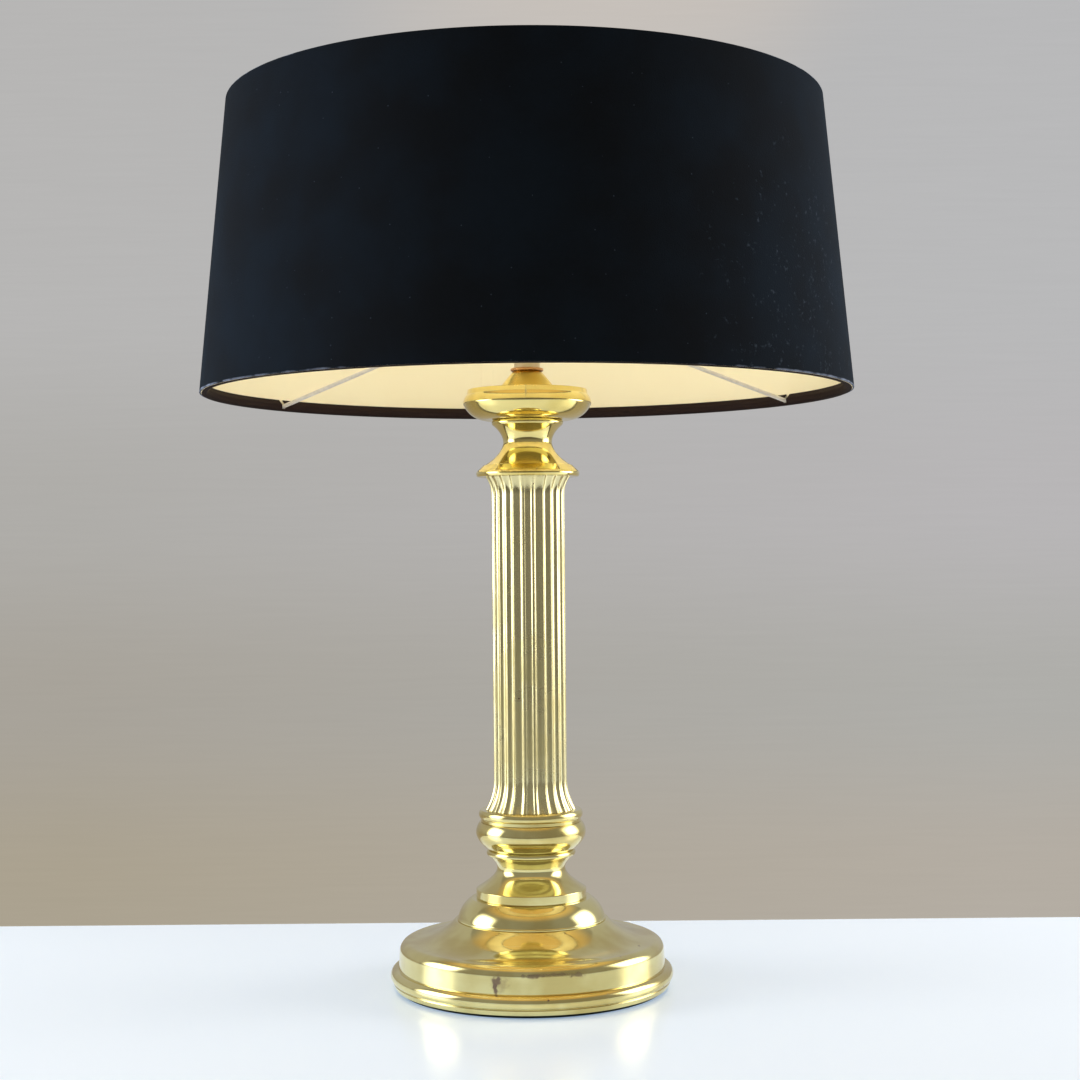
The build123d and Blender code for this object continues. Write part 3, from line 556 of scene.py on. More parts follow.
@dataclass(frozen=True)
class TurnedBrass(Finish):
    """Spun, turned or drawn brass, lacquered.

    The eye sees a mirror with a yellow-green cast, faint rings from the lathe, smudges that
    spread the reflections a little, and brown specks where the lacquer has let air in.
    """

    deep_tone: str = "#d8c57e"
    tarnish: str = "#5a3a32"
    ring_spacing: float = 1.6
    smudge_spacing: float = 34.0
    speck_spacing: float = 5.0
    fray: float = 3.0
    relief: float = 0.00004
    marks: tuple[Mark, ...] = ()

    def paint(self, tree: Tree, skin: Node) -> None:
        """Adds the lathe rings, smudges, specks and the patches of tarnish.

        Args:
            tree: The material's tree.
            skin: Its surface shader.
        """
        place = add_node(tree, "TexCoord").outputs["Object"]
        axes = add_node(tree, "SeparateXYZ", {"Vector": place}).outputs
        flat = add_node(tree, "CombineXYZ", {"X": axes["X"], "Y": axes["Y"]})
        reach = add_node(tree, "VectorMath", {0: flat}, operation="LENGTH")
        lathe = add_node(tree, "CombineXYZ", {"X": reach, "Z": axes["Z"]})
        ring_scale = 1.0 / (self.ring_spacing * MM)
        rings = add_node(tree, "TexNoise", {"Scale": ring_scale, "Detail": 2.0, "Vector": lathe})
        smudge = self.blotches(tree, place, self.smudge_spacing, 0.38, 0.68)
        specks = self.blotches(tree, place, self.speck_spacing, 0.725, 0.775, 5.0)
        if self.marks:
            fray_scale = 1.0 / (self.fray * MM)
            ragged = add_node(tree, "TexNoise", {"Scale": fray_scale, "Detail": 5.0, "Vector": place})
            for mark in self.marks:
                patch = mark.mask(tree, place, ragged)
                specks = add_node(tree, "Math", {0: specks, 1: patch}, operation="MAXIMUM")
        tones = {0: smudge, 6: linear(self.colour), 7: linear(self.deep_tone)}
        tone = add_node(tree, "Mix", tones, data_type="RGBA")
        worn = add_node(tree, "Mix", {0: specks, 6: tone, 7: linear(self.tarnish)}, data_type="RGBA")
        spread = {"Value": smudge, "To Min": self.roughness * 0.75, "To Max": self.roughness * 1.5}
        gloss = add_node(tree, "MapRange", spread)
        dull = add_node(tree, "Math", {0: specks, 1: 0.35, 2: gloss}, operation="MULTIPLY_ADD")
        height = add_node(tree, "Math", {0: specks, 1: -0.8, 2: rings}, operation="MULTIPLY_ADD")
        bump = add_node(tree, "Bump", {"Strength": 0.25, "Distance": self.relief, "Height": height})
        fill(tree, skin, {"Base Color": worn, "Roughness": dull, "Normal": bump})
        fill(tree, skin, {"Coat Weight": 0.25, "Coat Roughness": 0.06})


@dataclass(frozen=True)
class Velvet(Finish):
    """Short-pile cotton velvet on stiff card.

    Black where the eye looks into the pile and blue-grey where it looks along it, with
    lint, stroke marks of brushed pile painted as lighter sheen, and pale rims that are part worn-off pile and
    part painted highlight.
    """

    stroke_sheen_tone: str = "#17202b"
    lint: str = "#37414f"
    # The rims' pale tone: worn pile and painted highlight together.
    worn: str = "#7f8aa2"
    sheen_tint: str = "#6f8ab0"
    rims: tuple[Point, Point] = ((411.0, 2.2), (610.4, 0.9))
    dusty: Mark = Mark((172.0, -134.0, 462.0), (46.0, 50.0, 52.0))
    lint_spacing: float = 6.0
    lint_size: float = 0.07
    lint_share: float = 0.3
    thread: float = 11.0
    # The pile is under half a millimetre deep; it is drawn twice as coarse so that it shows.
    nap: float = 0.9

    def lint_specks(self, tree: Tree, place: Socket) -> Node:
        """Scatters single specks of lint over the whole shade.

        Args:
            tree: The material's tree.
            place: The coordinates in metres.

        Returns:
            The node that gives the mask.
        """
        scale = 1.0 / (self.lint_spacing * MM)
        cells = add_node(tree, "TexVoronoi", {"Scale": scale, "Vector": place}, feature="F1")
        small = add_node(tree, "Math", {0: cells, 1: self.lint_size}, operation="LESS_THAN")
        pick = add_node(tree, "SeparateColor", {"Color": cells.outputs["Color"]})
        chosen = add_node(tree, "Math", {0: pick, 1: 1.0 - self.lint_share}, operation="GREATER_THAN")
        return add_node(tree, "Math", {0: small, 1: chosen}, operation="MULTIPLY")

    def rim_wear_and_highlight(self, tree: Tree, place: Socket) -> Node:
        """Pales the rims: rubbed pile together with a painted highlight along each rim, paler towards the
        shade's two sides along X.

        Args:
            tree: The material's tree.
            place: The coordinates in metres.

        Returns:
            The node that gives the mask.
        """
        axes = add_node(tree, "SeparateXYZ", {"Vector": place}).outputs
        scale = 1.0 / (self.thread * MM)
        threads = add_node(tree, "TexNoise", {"Scale": scale, "Detail": 5.0, "Vector": place})
        # Paler towards the shade's two sides along X: painted highlight.
        aside = add_node(tree, "Math", {0: axes["X"]}, operation="ABSOLUTE")
        more = {"Value": aside, "From Min": 0.06, "From Max": 0.21, "To Min": 0.5, "To Max": 1.15}
        spread = add_node(tree, "MapRange", more)
        wear_and_highlight_noise = add_node(tree, "Math", {0: threads, 1: spread}, operation="MULTIPLY")
        bands: list[Node] = []
        for rim, width in self.rims:
            off = add_node(tree, "Math", {0: axes["Z"], 1: rim * MM}, operation="SUBTRACT")
            gap = add_node(tree, "Math", {0: off}, operation="ABSOLUTE")
            reach = {"Value": gap, "From Min": width * MM, "From Max": 0.25 * width * MM}
            bands.append(add_node(tree, "MapRange", reach))
        both = add_node(tree, "Math", {0: bands[0], 1: bands[1]}, operation="MAXIMUM")
        worn = add_node(tree, "Math", {0: both, 1: wear_and_highlight_noise}, operation="MULTIPLY")
        return add_node(tree, "MapRange", {"Value": worn, "From Min": 0.34, "From Max": 0.64})

    def paint(self, tree: Tree, skin: Node) -> None:
        """Adds the stroke marks painted as sheen, the pile, the lint and the rims, which are part wear and
        part painted highlight.

        Args:
            tree: The material's tree.
            skin: Its surface shader.
        """
        place = add_node(tree, "TexCoord").outputs["Object"]
        # Stroke marks of brushed pile: painted sheen, lighter blue patches in the base colour.
        stroke_sheen = self.blotches(tree, place, 60.0, 0.3, 0.75)
        cloud = self.blotches(tree, place, 14.0, 0.4, 0.62)
        patch = self.dusty.mask(tree, place, cloud)
        fluff = self.blotches(tree, place, 3.2, 0.57, 0.75, 6.0)
        dust = add_node(tree, "Math", {0: fluff, 1: patch}, operation="MULTIPLY")
        lint = add_node(tree, "Math", {0: self.lint_specks(tree, place), 1: dust}, operation="MAXIMUM")
        tone: Node | Colour = linear(self.colour)
        for mask, hue in (
            (stroke_sheen, self.stroke_sheen_tone),
            (lint, self.lint),
            (self.rim_wear_and_highlight(tree, place), self.worn),
        ):
            tone = add_node(tree, "Mix", {0: mask, 6: tone, 7: linear(hue)}, data_type="RGBA")
        nap = add_node(tree, "TexNoise", {"Scale": 1.0 / (self.nap * MM), "Detail": 2.0, "Vector": place})
        bump = add_node(tree, "Bump", {"Strength": 0.5, "Distance": 0.0003, "Height": nap})
        fill(tree, skin, {"Base Color": tone, "Normal": bump, "Specular IOR Level": 0.08})
        fill(tree, skin, {"Sheen Weight": 0.13, "Sheen Roughness": 0.4})
        fill(tree, skin, {"Sheen Tint": linear(self.sheen_tint)})


@dataclass(frozen=True)
class Laminate(Finish):
    """Cream plastic laminate with the bulb's light on it.

    It is smooth and even and passes a little light on; its faint glow is painted light, and its tone is
    painted falloff of the bulb's light, dimmer and yellower towards the rim.
    """

    rim_falloff_tone: str = "#f4ebcc"
    # A faint glow painted on the sheet, though it is no lamp.
    glow: float = 0.1
    levels: Point = (411.0, 540.0)

    def paint(self, tree: Tree, skin: Node) -> None:
        """Adds the drift of tone, which is painted falloff of the bulb's light with a little random cloud,
        and the painted glow of the lit sheet.

        Args:
            tree: The material's tree.
            skin: Its surface shader.
        """
        place = add_node(tree, "TexCoord").outputs["Object"]
        level = add_node(tree, "SeparateXYZ", {"Vector": place}).outputs["Z"]
        low, high = self.levels
        rise = add_node(tree, "MapRange", {"Value": level, "From Min": low * MM, "From Max": high * MM})
        cloud = self.blotches(tree, place, 45.0, 0.3, 0.8)
        blend = add_node(tree, "Math", {0: cloud, 1: 0.12, 2: rise}, operation="MULTIPLY_ADD", use_clamp=True)
        # Dimmer and yellower towards the rim, brightest at the bulb's height: painted falloff of its light.
        tones = {0: blend, 6: linear(self.rim_falloff_tone), 7: linear(self.colour)}
        tone = add_node(tree, "Mix", tones, data_type="RGBA")
        fill(tree, skin, {"Base Color": tone, "Emission Color": tone, "Emission Strength": self.glow})


@dataclass(frozen=True)
class Woven(Finish):
    """Woven tape or felted cloth: matt, with the lie of its threads in two close tones."""

    thread: float = 0.6
    other: str = "#5a4038"

    def paint(self, tree: Tree, skin: Node) -> None:
        """Adds the threads, drawn about twice as coarse as they are so that they show.

        Args:
            tree: The material's tree.
            skin: Its surface shader.
        """
        place = add_node(tree, "TexCoord").outputs["Object"]
        scale = 1.0 / (self.thread * 2.0 * MM)
        threads = add_node(tree, "TexNoise", {"Scale": scale, "Detail": 2.0, "Vector": place})
        tones = {0: threads, 6: linear(self.colour), 7: linear(self.other)}
        tone = add_node(tree, "Mix", tones, data_type="RGBA")
        bump = add_node(tree, "Bump", {"Strength": 0.6, "Distance": 0.0002, "Height": threads})
        fill(tree, skin, {"Base Color": tone, "Normal": bump, "Specular IOR Level": 0.15})


@dataclass(frozen=True)
class Moulded(Finish):
    """Moulded, fired, plated or painted goods: one tone with a faint mottle and grain."""

    other: str = "#808080"
    grain: float = 3.0
    grain_depth: float = 0.00002

    def paint(self, tree: Tree, skin: Node) -> None:
        """Adds the mottle and the grain.

        Args:
            tree: The material's tree.
            skin: Its surface shader.
        """
        place = add_node(tree, "TexCoord").outputs["Object"]
        mottle = self.blotches(tree, place, self.grain * 4.0, 0.35, 0.75)
        tones = {0: mottle, 6: linear(self.colour), 7: linear(self.other)}
        tone = add_node(tree, "Mix", tones, data_type="RGBA")
        grain = add_node(tree, "TexNoise", {"Scale": 1.0 / (self.grain * MM), "Detail": 4.0, "Vector": place})
        bump = add_node(tree, "Bump", {"Strength": 0.4, "Distance": self.grain_depth, "Height": grain})
        fill(tree, skin, {"Base Color": tone, "Normal": bump})


@dataclass(frozen=True)
class LitOpal(Finish):
    """Opal glass with the filament lit behind it: an even warm white glow."""

    glow: float = 14.0

    def paint(self, tree: Tree, skin: Node) -> None:
        """Sets the glow."""
        fill(tree, skin, {"Emission Color": linear(self.colour), "Emission Strength": self.glow})


# Buffed on the wheel: the clearest mirror, pale yellow with a green cast.
BRASS = TurnedBrass("lacquered_brass_buffed", "#ebdf9f", 0.11, 1.0)
# Drawn through a die, with the reflections spread along the flutes; its paler tone stands for the white light
# that the flutes reflect into each other: painted reflection.
TUBE_BRASS = TurnedBrass("lacquered_brass_drawn", "#e4d9a6", 0.25, 1.0, deep_tone="#cbbf8a", ring_spacing=9.0)
# The topmost pieces get a yellower brass that stands for the warm light of the lit lining reflected in them:
# painted reflection.
WARM_LIT_BRASS = TurnedBrass("lacquered_brass_painted_warm_light", "#eddb90", 0.12, 1.0, deep_tone="#dcc672")
# The foot is knocked and wiped most: the lacquer is broken at its front, and purple-brown beneath.
FOOT_BRASS = TurnedBrass(
    "lacquered_brass_tarnished",
    "#ebdf9f",
    0.11,
    1.0,
    tarnish="#6b4c54",
    marks=(
        Mark((-22.5, -89.2, 23.5), (3.6, 4.0, 3.2), 0.75),
        Mark((-23.5, -89.0, 19.5), (2.0, 4.0, 5.0), 0.8),
        Mark((1.5, -92.0, 26.8), (9.0, 4.0, 1.6), 0.65),
        Mark((16.0, -90.6, 27.6), (9.0, 4.0, 1.2), 0.5),
        Mark((30.5, -86.8, 26.6), (6.5, 4.0, 1.8), 0.55),
        Mark((-21.0, -89.5, 22.0), (7.0, 4.0, 6.5), 0.22),
    ),
)
# Cut from bar and never buffed: a dull coppery edge.
DISC_BRASS = TurnedBrass("lacquered_brass_dulled", "#cf9f6c", 0.3, 1.0, deep_tone="#a8744c")
# Satin from the mop: it glows in the bulb's light and mirrors nothing sharply.
BELL_BRASS = TurnedBrass("lacquered_brass_satin", "#f0d876", 0.3, 1.0, deep_tone="#e4c75e")
# Pressed wool: dead matt, nearly black green.
FELT = Woven("baize_felt_dark_green", "#141a16", 0.95, thread=0.5, other="#232b25")
# Sand-cast and dipped in black varnish: coarse skin, soft shine.
CAST_IRON = Moulded("cast_iron_japanned", "#1d1d1f", 0.6, 0.4, other="#2a2826", grain=1.2, grain_depth=0.0002)
# Moulded in a polished tool: smooth, half matt black.
RUBBER = Moulded("rubber_moulded_black", "#17181a", 0.55, other="#202124", grain=1.0)
# Bright zinc over rolled steel: cool grey, slightly clouded.
ZINC = Moulded("steel_zinc_plated", "#c3c6c8", 0.28, 1.0, other="#aeb1ae", grain=1.5)
# Pressed thermoset: cream with a soft gloss.
THERMOSET = Moulded("urea_thermoset_cream", "#e9dcc0", 0.32, other="#dfd0b0", grain=2.0)
# Glazed and fired: hard white gloss.
PORCELAIN = Moulded("porcelain_glazed_white", "#eceae2", 0.12, other="#e2dfd4", grain=4.0)
# Stamped from strip, bare: a warm, slightly brushed yellow.
STAMPED_BRASS = Moulded("brass_strip_stamped", "#cfae62", 0.25, 1.0, other="#b8964e", grain=1.2)
# A frozen drop: dull grey, wavy.
SOLDER = Moulded("solder_tin_lead", "#b9b9b4", 0.35, 1.0, other="#9d9d99", grain=1.0)
# Fused in place: glossy black.
BLACK_GLASS = Moulded("glass_fused_black", "#141416", 0.1, other="#1c1c20", grain=2.0)
# Thin rolled brass, nickel plated: bright with a warm grey cast.
NICKEL = Moulded("brass_nickel_plated", "#cdc9c0", 0.18, 1.0, other="#b8b3a8", grain=2.0)
# Powder coat baked on wire: smooth white with a low shine.
WIRE = Moulded("steel_wire_powder_coated", "#f3f2f4", 0.35, other="#e6e4e6", grain=1.0)
# Dyed pile: it swallows light face on and turns blue-grey at a slant.
VELVET = Velvet("cotton_velvet_blue_black", "#15191f", 1.0)
# Calendered sheet: even, low gloss, cream, with the bulb's light painted on as glow and falloff.
LINING = Laminate("styrene_laminate_cream", "#fcf7de", 0.55)
# Narrow loom tape: matt, nearly black brown.
TAPE = Woven("cotton_tape_dark_brown", "#1c1415", 0.9, thread=0.45, other="#2d2120")
# Blown opal: no filament shows, only an even glow.
OPAL = LitOpal("opal_glass_lit", "#fff4dc", 0.25)


def hand_over(piece: Piece, body: Body, slot: str, finish: Finish, *nodes: str) -> Piece:
    """Gives a finished piece its material, its body and its place in the frame.

    Args:
        piece: The finished piece.
        body: The body that carries it.
        slot: A name for its finish's slot; not used.
        finish: What it is made of.
        nodes: The plain solids that it stands for.

    Returns:
        The same piece.
    """
    piece.data.materials.clear()
    piece.data.materials.append(finish.material())
    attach(piece, body.value)
    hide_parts(*nodes)
    return piece


def dress(finish: Finish, *nodes: str) -> None:
    """Gives a finish to solids that stay as they are.

    Args:
        finish: What they are made of.
        nodes: The solids' names.
    """
    for name in nodes:
        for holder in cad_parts[name].material_slots:
            holder.material = finish.material()


# ---------------------------------------------------------------------------
# The stand
# ---------------------------------------------------------------------------


@dataclass
class WeightedFoot:
    """The spun foot with its dome, ballast, felt and cord inlet."""

    felt_radius: float = 92.5
    felt_top: float = 2.0
    felt_insets: Point = (0.8, 0.4)
    edge_radius: float = 95.0
    ring_foot: Point = (96.3, 5.3)
    groove: Point = (95.6, 5.9)
    ring_start: Point = (96.7, 6.6)
    widest: Point = (98.0, 9.5)
    ledge: Point = (94.0, 14.8)
    band_foot: float = 92.4
    band_radius: float = 91.8
    band_top: float = 26.0
    shoulder_round: float = 7.0
    saddle: Point = (53.0, 47.0)
    hole: float = 5.4
    shell_wall: float = 1.2
    shell_steps: int = 256
    inlet_radius: float = 5.0
    inlet_level: float = 21.65
    dome_lip: Point = (51.6, 48.2)
    dome_foot: Point = (51.0, 48.8)
    dome_belly: Point = (48.2, 55.3)
    dome_top: Point = (41.5, 61.8)
    dome_wall: float = 1.0

    def build_shell(self) -> Piece:
        """Spins the foot shell: rolled ring, ledge, band, shoulder and saddle.

        Returns:
            The shell, with the inlet drilled.
        """
        outline = Outline([(self.edge_radius, self.felt_top)])
        outline.to(self.ring_foot, self.groove, self.ring_start)
        outline.through(self.widest, self.ledge, 14)
        outline.to((self.band_foot, self.ledge[1]), (self.band_radius, self.band_top))
        shoulder = (self.band_radius - self.shoulder_round, self.band_top + self.shoulder_round)
        outline.swing(shoulder, self.shoulder_round, 12)
        outline.lead((-1.0, 0.0), self.saddle, 22)
        outline.to((self.hole, self.saddle[1]))
        shell = turn_off("foot_shell", outline, 0.35, wall=self.shell_wall, steps=self.shell_steps)
        self.drill_inlet(shell)
        return shell

    def drill_inlet(self, shell: Piece) -> None:
        """Drills the hole for the cord's bushing through the back of the band.

        Args:
            shell: The finished shell.
        """
        bpy.ops.object.select_all(action="DESELECT")
        bpy.ops.mesh.primitive_cylinder_add(
            vertices=64,
            radius=self.inlet_radius * MM,
            depth=4 * self.shell_wall * MM,
            location=(0.0, self.band_radius * MM, self.inlet_level * MM),
            rotation=(math.pi / 2, 0.0, 0.0),
        )
        drill = bpy.context.active_object
        hole = shell.modifiers.new("inlet", "BOOLEAN")
        hole.object = drill
        hole.operation = "DIFFERENCE"
        hole.solver = "EXACT"
        apply_all(shell)
        bpy.data.objects.remove(drill)

    def build_dome(self) -> Piece:
        """Spins the dome that stands on the saddle.

        Returns:
            The dome, open below.
        """
        outline = Outline([(self.dome_lip[0], self.saddle[1])])
        outline.to(self.dome_lip, self.dome_foot).through(self.dome_belly, self.dome_top, 16)
        outline.to((self.hole, self.dome_top[1]))
        return turn_off("foot_dome", outline, 0.3, wall=self.dome_wall)

    def build_felt(self) -> Piece:
        """Cuts the felt disc and lets its edge swell a little.

        Returns:
            The disc.
        """
        low, high = (self.felt_radius - inset for inset in self.felt_insets)
        outline = Outline([(0.0, 0.0)]).to((low, 0.0))
        outline.through((self.felt_radius, self.felt_top / 2), (high, self.felt_top), 6)
        outline.to((0.0, self.felt_top))
        return turn_off("felt_disc", outline, 0.2, 2)

    def dress(self) -> None:
        """Models the foot and gives each piece its finish."""
        hand_over(self.build_shell(), Body.STAND, "lacquered_brass", FOOT_BRASS, "base_shell")
        hand_over(self.build_dome(), Body.STAND, "lacquered_brass", BRASS, "base_dome")
        hand_over(self.build_felt(), Body.STAND, "green_felt", FELT, "felt_pad")
        dress(CAST_IRON, "base_ballast")
        dress(RUBBER, "cord_inlet")
        dress(ZINC, "tie_rod", "clamp_washer", "clamp_nut", "dome_spacer")


@dataclass
class Pedestal:
    """The turned castings between the foot and the column."""

    hole: float = 5.4
    foot_level: float = 61.8
    band_radius: float = 38.3
    band_top: float = 68.0
    waist: Point = (23.9, 83.8)
    bead_radius: float = 31.0
    bead_height: float = 4.6
    top: float = 95.2
    core: float = 20.7
    web: float = 4.0
    bowl_foot: Point = (30.0, 95.2)
    bowl_crest: Point = (38.2, 107.1)
    bowl_rim: Point = (35.6, 114.4)
    bowl_core: float = 26.8
    ring_radius: float = 36.2
    ring_groove: Point = (34.8, 116.6)
    ring_top: float = 122.8
    ring_edge: float = 1.4
    spigot: Point = (22.55, 127.8)

    def build_pedestal(self) -> Piece:
        """Turns the pedestal: a plain band, a waist and a bead.

        Returns:
            The pedestal.
        """
        bead_foot = (self.bead_radius - self.bead_height / 2, self.top - self.bead_height)
        bead_crest = (self.bead_radius, self.top - self.bead_height / 2)
        web_level = self.top - self.web
        outline = Outline([(self.hole, web_level)])
        outline.to((self.core, web_level), (self.core, self.foot_level))
        outline.to((self.band_radius, self.foot_level), (self.band_radius, self.band_top))
        outline.flow((-1.0, 0.65), self.waist, bead_foot, (0.75, 1.0))
        outline.through(bead_crest, (bead_foot[0], self.top), 12)
        outline.to((self.hole, self.top)).close()
        return turn_off("pedestal_turned", outline, 0.35)

    def build_bowl(self) -> Piece:
        """Turns the bowl that swells over the pedestal.

        Returns:
            The bowl.
        """
        outline = Outline([self.bowl_foot])
        outline.flow((1.0, 0.8), self.bowl_crest, self.bowl_rim, (-0.75, 1.0))
        floor = self.bowl_foot[1] + self.web
        outline.to((self.bowl_core, self.bowl_rim[1]), (self.bowl_core, floor))
        outline.to((self.hole, floor), (self.hole, self.bowl_foot[1])).close()
        return turn_off("bowl_turned", outline, 0.35)

    def build_ring(self) -> Piece:
        """Turns the grooved ring that the column stands on.

        Returns:
            The ring, with the spigot that enters the tube.
        """
        outline = Outline([(self.hole, self.bowl_rim[1])])
        outline.to((self.ring_groove[0], self.bowl_rim[1]), self.ring_groove)
        crest = (self.ring_radius, (self.ring_groove[1] + self.ring_top) / 2)
        outline.through(crest, (self.ring_radius - self.ring_edge, self.ring_top), 14)
        outline.to((self.spigot[0], self.ring_top), self.spigot, (self.hole, self.spigot[1])).close()
        return turn_off("ring_turned", outline, 0.3)

    def dress(self) -> None:
        """Models the three castings in lacquered brass."""
        hand_over(self.build_pedestal(), Body.STAND, "lacquered_brass", BRASS, "pedestal")
        hand_over(self.build_bowl(), Body.STAND, "lacquered_brass", BRASS, "lower_bowl")
        hand_over(self.build_ring(), Body.STAND, "lacquered_brass", BRASS, "lower_ring")


@dataclass
class FlutedColumn:
    """The drawn tube with 24 concave flutes that run out over its flared ends."""

    flutes: int = 24
    radius: float = 25.4
    bore: float = 22.75
    depth: float = 1.35
    tool_radius: float = 3.4
    foot: float = 122.8
    head: float = 353.7
    foot_flare: Point = (41.0, 21.2)
    head_flare: Point = (21.7, 12.7)
    foot_depth: float = 1.21
    head_depth: float = 1.14
    flare_steps: int = 10
    arc_steps: int = 10

    def wall_at(self, level: float) -> Point:
        """Gives the tube's radius and the flutes' depth at a level.

        Args:
            level: The height in millimetres.

        Returns:
            The radius of the lands and the depth of the flutes.
        """
        for edge, inward, (swing, length), depth in (
            (self.foot, 1.0, self.foot_flare, self.foot_depth),
            (self.head, -1.0, self.head_flare, self.head_depth),
        ):
            into = length - (level - edge) * inward
            if into > 0.0:
                out = swing - math.sqrt(swing * swing - into * into)
                return self.radius + out, self.depth + (depth - self.depth) * into / length
        return self.radius, self.depth

    def levels(self) -> list[float]:
        """Lists the heights at which the tube gets a ring of edges.

        Returns:
            The heights in millimetres, from the foot up.
        """
        shares = [step / self.flare_steps for step in range(self.flare_steps + 1)]
        low = [self.foot + self.foot_flare[1] * share for share in shares]
        high = [self.head - self.head_flare[1] * share for share in shares]
        return low + [(self.foot + self.head) / 2] + high[::-1]

    def section(self) -> list[Point]:
        """Draws one land and flute on the plan.

        Returns:
            Its corners as (x, y), symmetric about the +X axis.
        """
        centre = self.radius - self.depth + self.tool_radius
        cosine = (self.radius**2 + centre**2 - self.tool_radius**2) / (2 * self.radius * centre)
        half = math.acos(cosine)
        land = math.pi / self.flutes
        edges = (-land, -(land + half) / 2)
        corners = [(self.radius * math.cos(edge), self.radius * math.sin(edge)) for edge in edges]
        reach = math.asin(self.radius * math.sin(half) / self.tool_radius)
        for step in range(self.arc_steps + 1):
            swung = reach * (2 * step / self.arc_steps - 1)
            corners.append((centre - self.tool_radius * math.cos(swung), self.tool_radius * math.sin(swung)))
        return corners + [(x, -y) for x, y in corners[1::-1]]

    def pick_ring(self, piece: Piece, level: float, half: float = 4.0) -> None:
        """Selects the vertices of one ring near the flute's middle.

        Args:
            piece: The column, in edit mode.
            level: The ring's height in millimetres.
            half: How far from the middle it reaches, in radians; the whole ring where none is given.
        """
        mesh = bmesh.from_edit_mesh(piece.data)
        for vertex in mesh.verts:
            near = abs(vertex.co.z - level * MM) < LOOSE_WELD
            vertex.select = near and abs(math.atan2(vertex.co.y, vertex.co.x)) < half
        mesh.select_flush_mode()
        bmesh.update_edit_mesh(piece.data)

    def raise_flute(self, piece: Piece, half: float) -> None:
        """Extrudes one flute up the column, wider and shallower at the flares.

        Args:
            piece: The flute's section, in edit mode.
            half: The flute's half width in radians.
        """
        levels = self.levels()
        was_radius, was_depth, was_level = self.radius, self.depth, levels[0]
        for index, level in enumerate(levels):
            radius, depth = self.wall_at(level)
            if index:
                bpy.ops.mesh.extrude_region_move(
                    TRANSFORM_OT_translate={"value": (0.0, 0.0, (level - was_level) * MM)}
                )
            self.pick_ring(piece, level)
            grow = radius / was_radius
            bpy.ops.transform.resize(value=(grow, grow, 1.0), center_override=(0.0, 0.0, level * MM))
            chord = radius * math.cos(half)
            fade = depth / (was_depth * grow)
            self.pick_ring(piece, level, half - 1e-4)
            bpy.ops.transform.resize(value=(fade, 1.0, 1.0), center_override=(chord * MM, 0.0, level * MM))
            self.pick_ring(piece, level)
            was_radius, was_depth, was_level = radius, depth, level

    def build(self) -> Piece:
        """Raises one flute, copies it round and closes the bore.

        Returns:
            The column.
        """
        corners = [Vector((x * MM, y * MM, self.foot * MM)) for x, y in self.section()]
        piece = start_drawing("column_fluted", corners[0])
        draw_on(corners[0], corners[1:])
        self.raise_flute(piece, abs(math.atan2(corners[2].y, corners[2].x)))
        axis = {"center": (0.0, 0.0, 0.0), "axis": (0.0, 0.0, 1.0)}
        bpy.ops.mesh.select_all(action="SELECT")
        bpy.ops.mesh.spin(steps=self.flutes, angle=math.tau, dupli=True, **axis)
        bpy.ops.mesh.select_all(action="SELECT")
        bpy.ops.mesh.remove_doubles(threshold=LOOSE_WELD)
        self.pick_ring(piece, self.head)
        bpy.ops.mesh.extrude_region_move()
        shrink = self.bore / self.wall_at(self.head)[0]
        bpy.ops.transform.resize(value=(shrink, shrink, 1.0), center_override=(0.0, 0.0, self.head * MM))
        bpy.ops.mesh.extrude_region_move(
            TRANSFORM_OT_translate={"value": (0.0, 0.0, (self.foot - self.head) * MM)}
        )
        self.pick_ring(piece, self.foot)
        bpy.ops.mesh.bridge_edge_loops()
        weld_and_leave()
        soften(piece, 0.22, 2, sharp=24.0)
        return piece

    def dress(self) -> None:
        """Models the column in lacquered brass."""
        hand_over(self.build(), Body.STAND, "lacquered_brass", TUBE_BRASS, "column_tube")


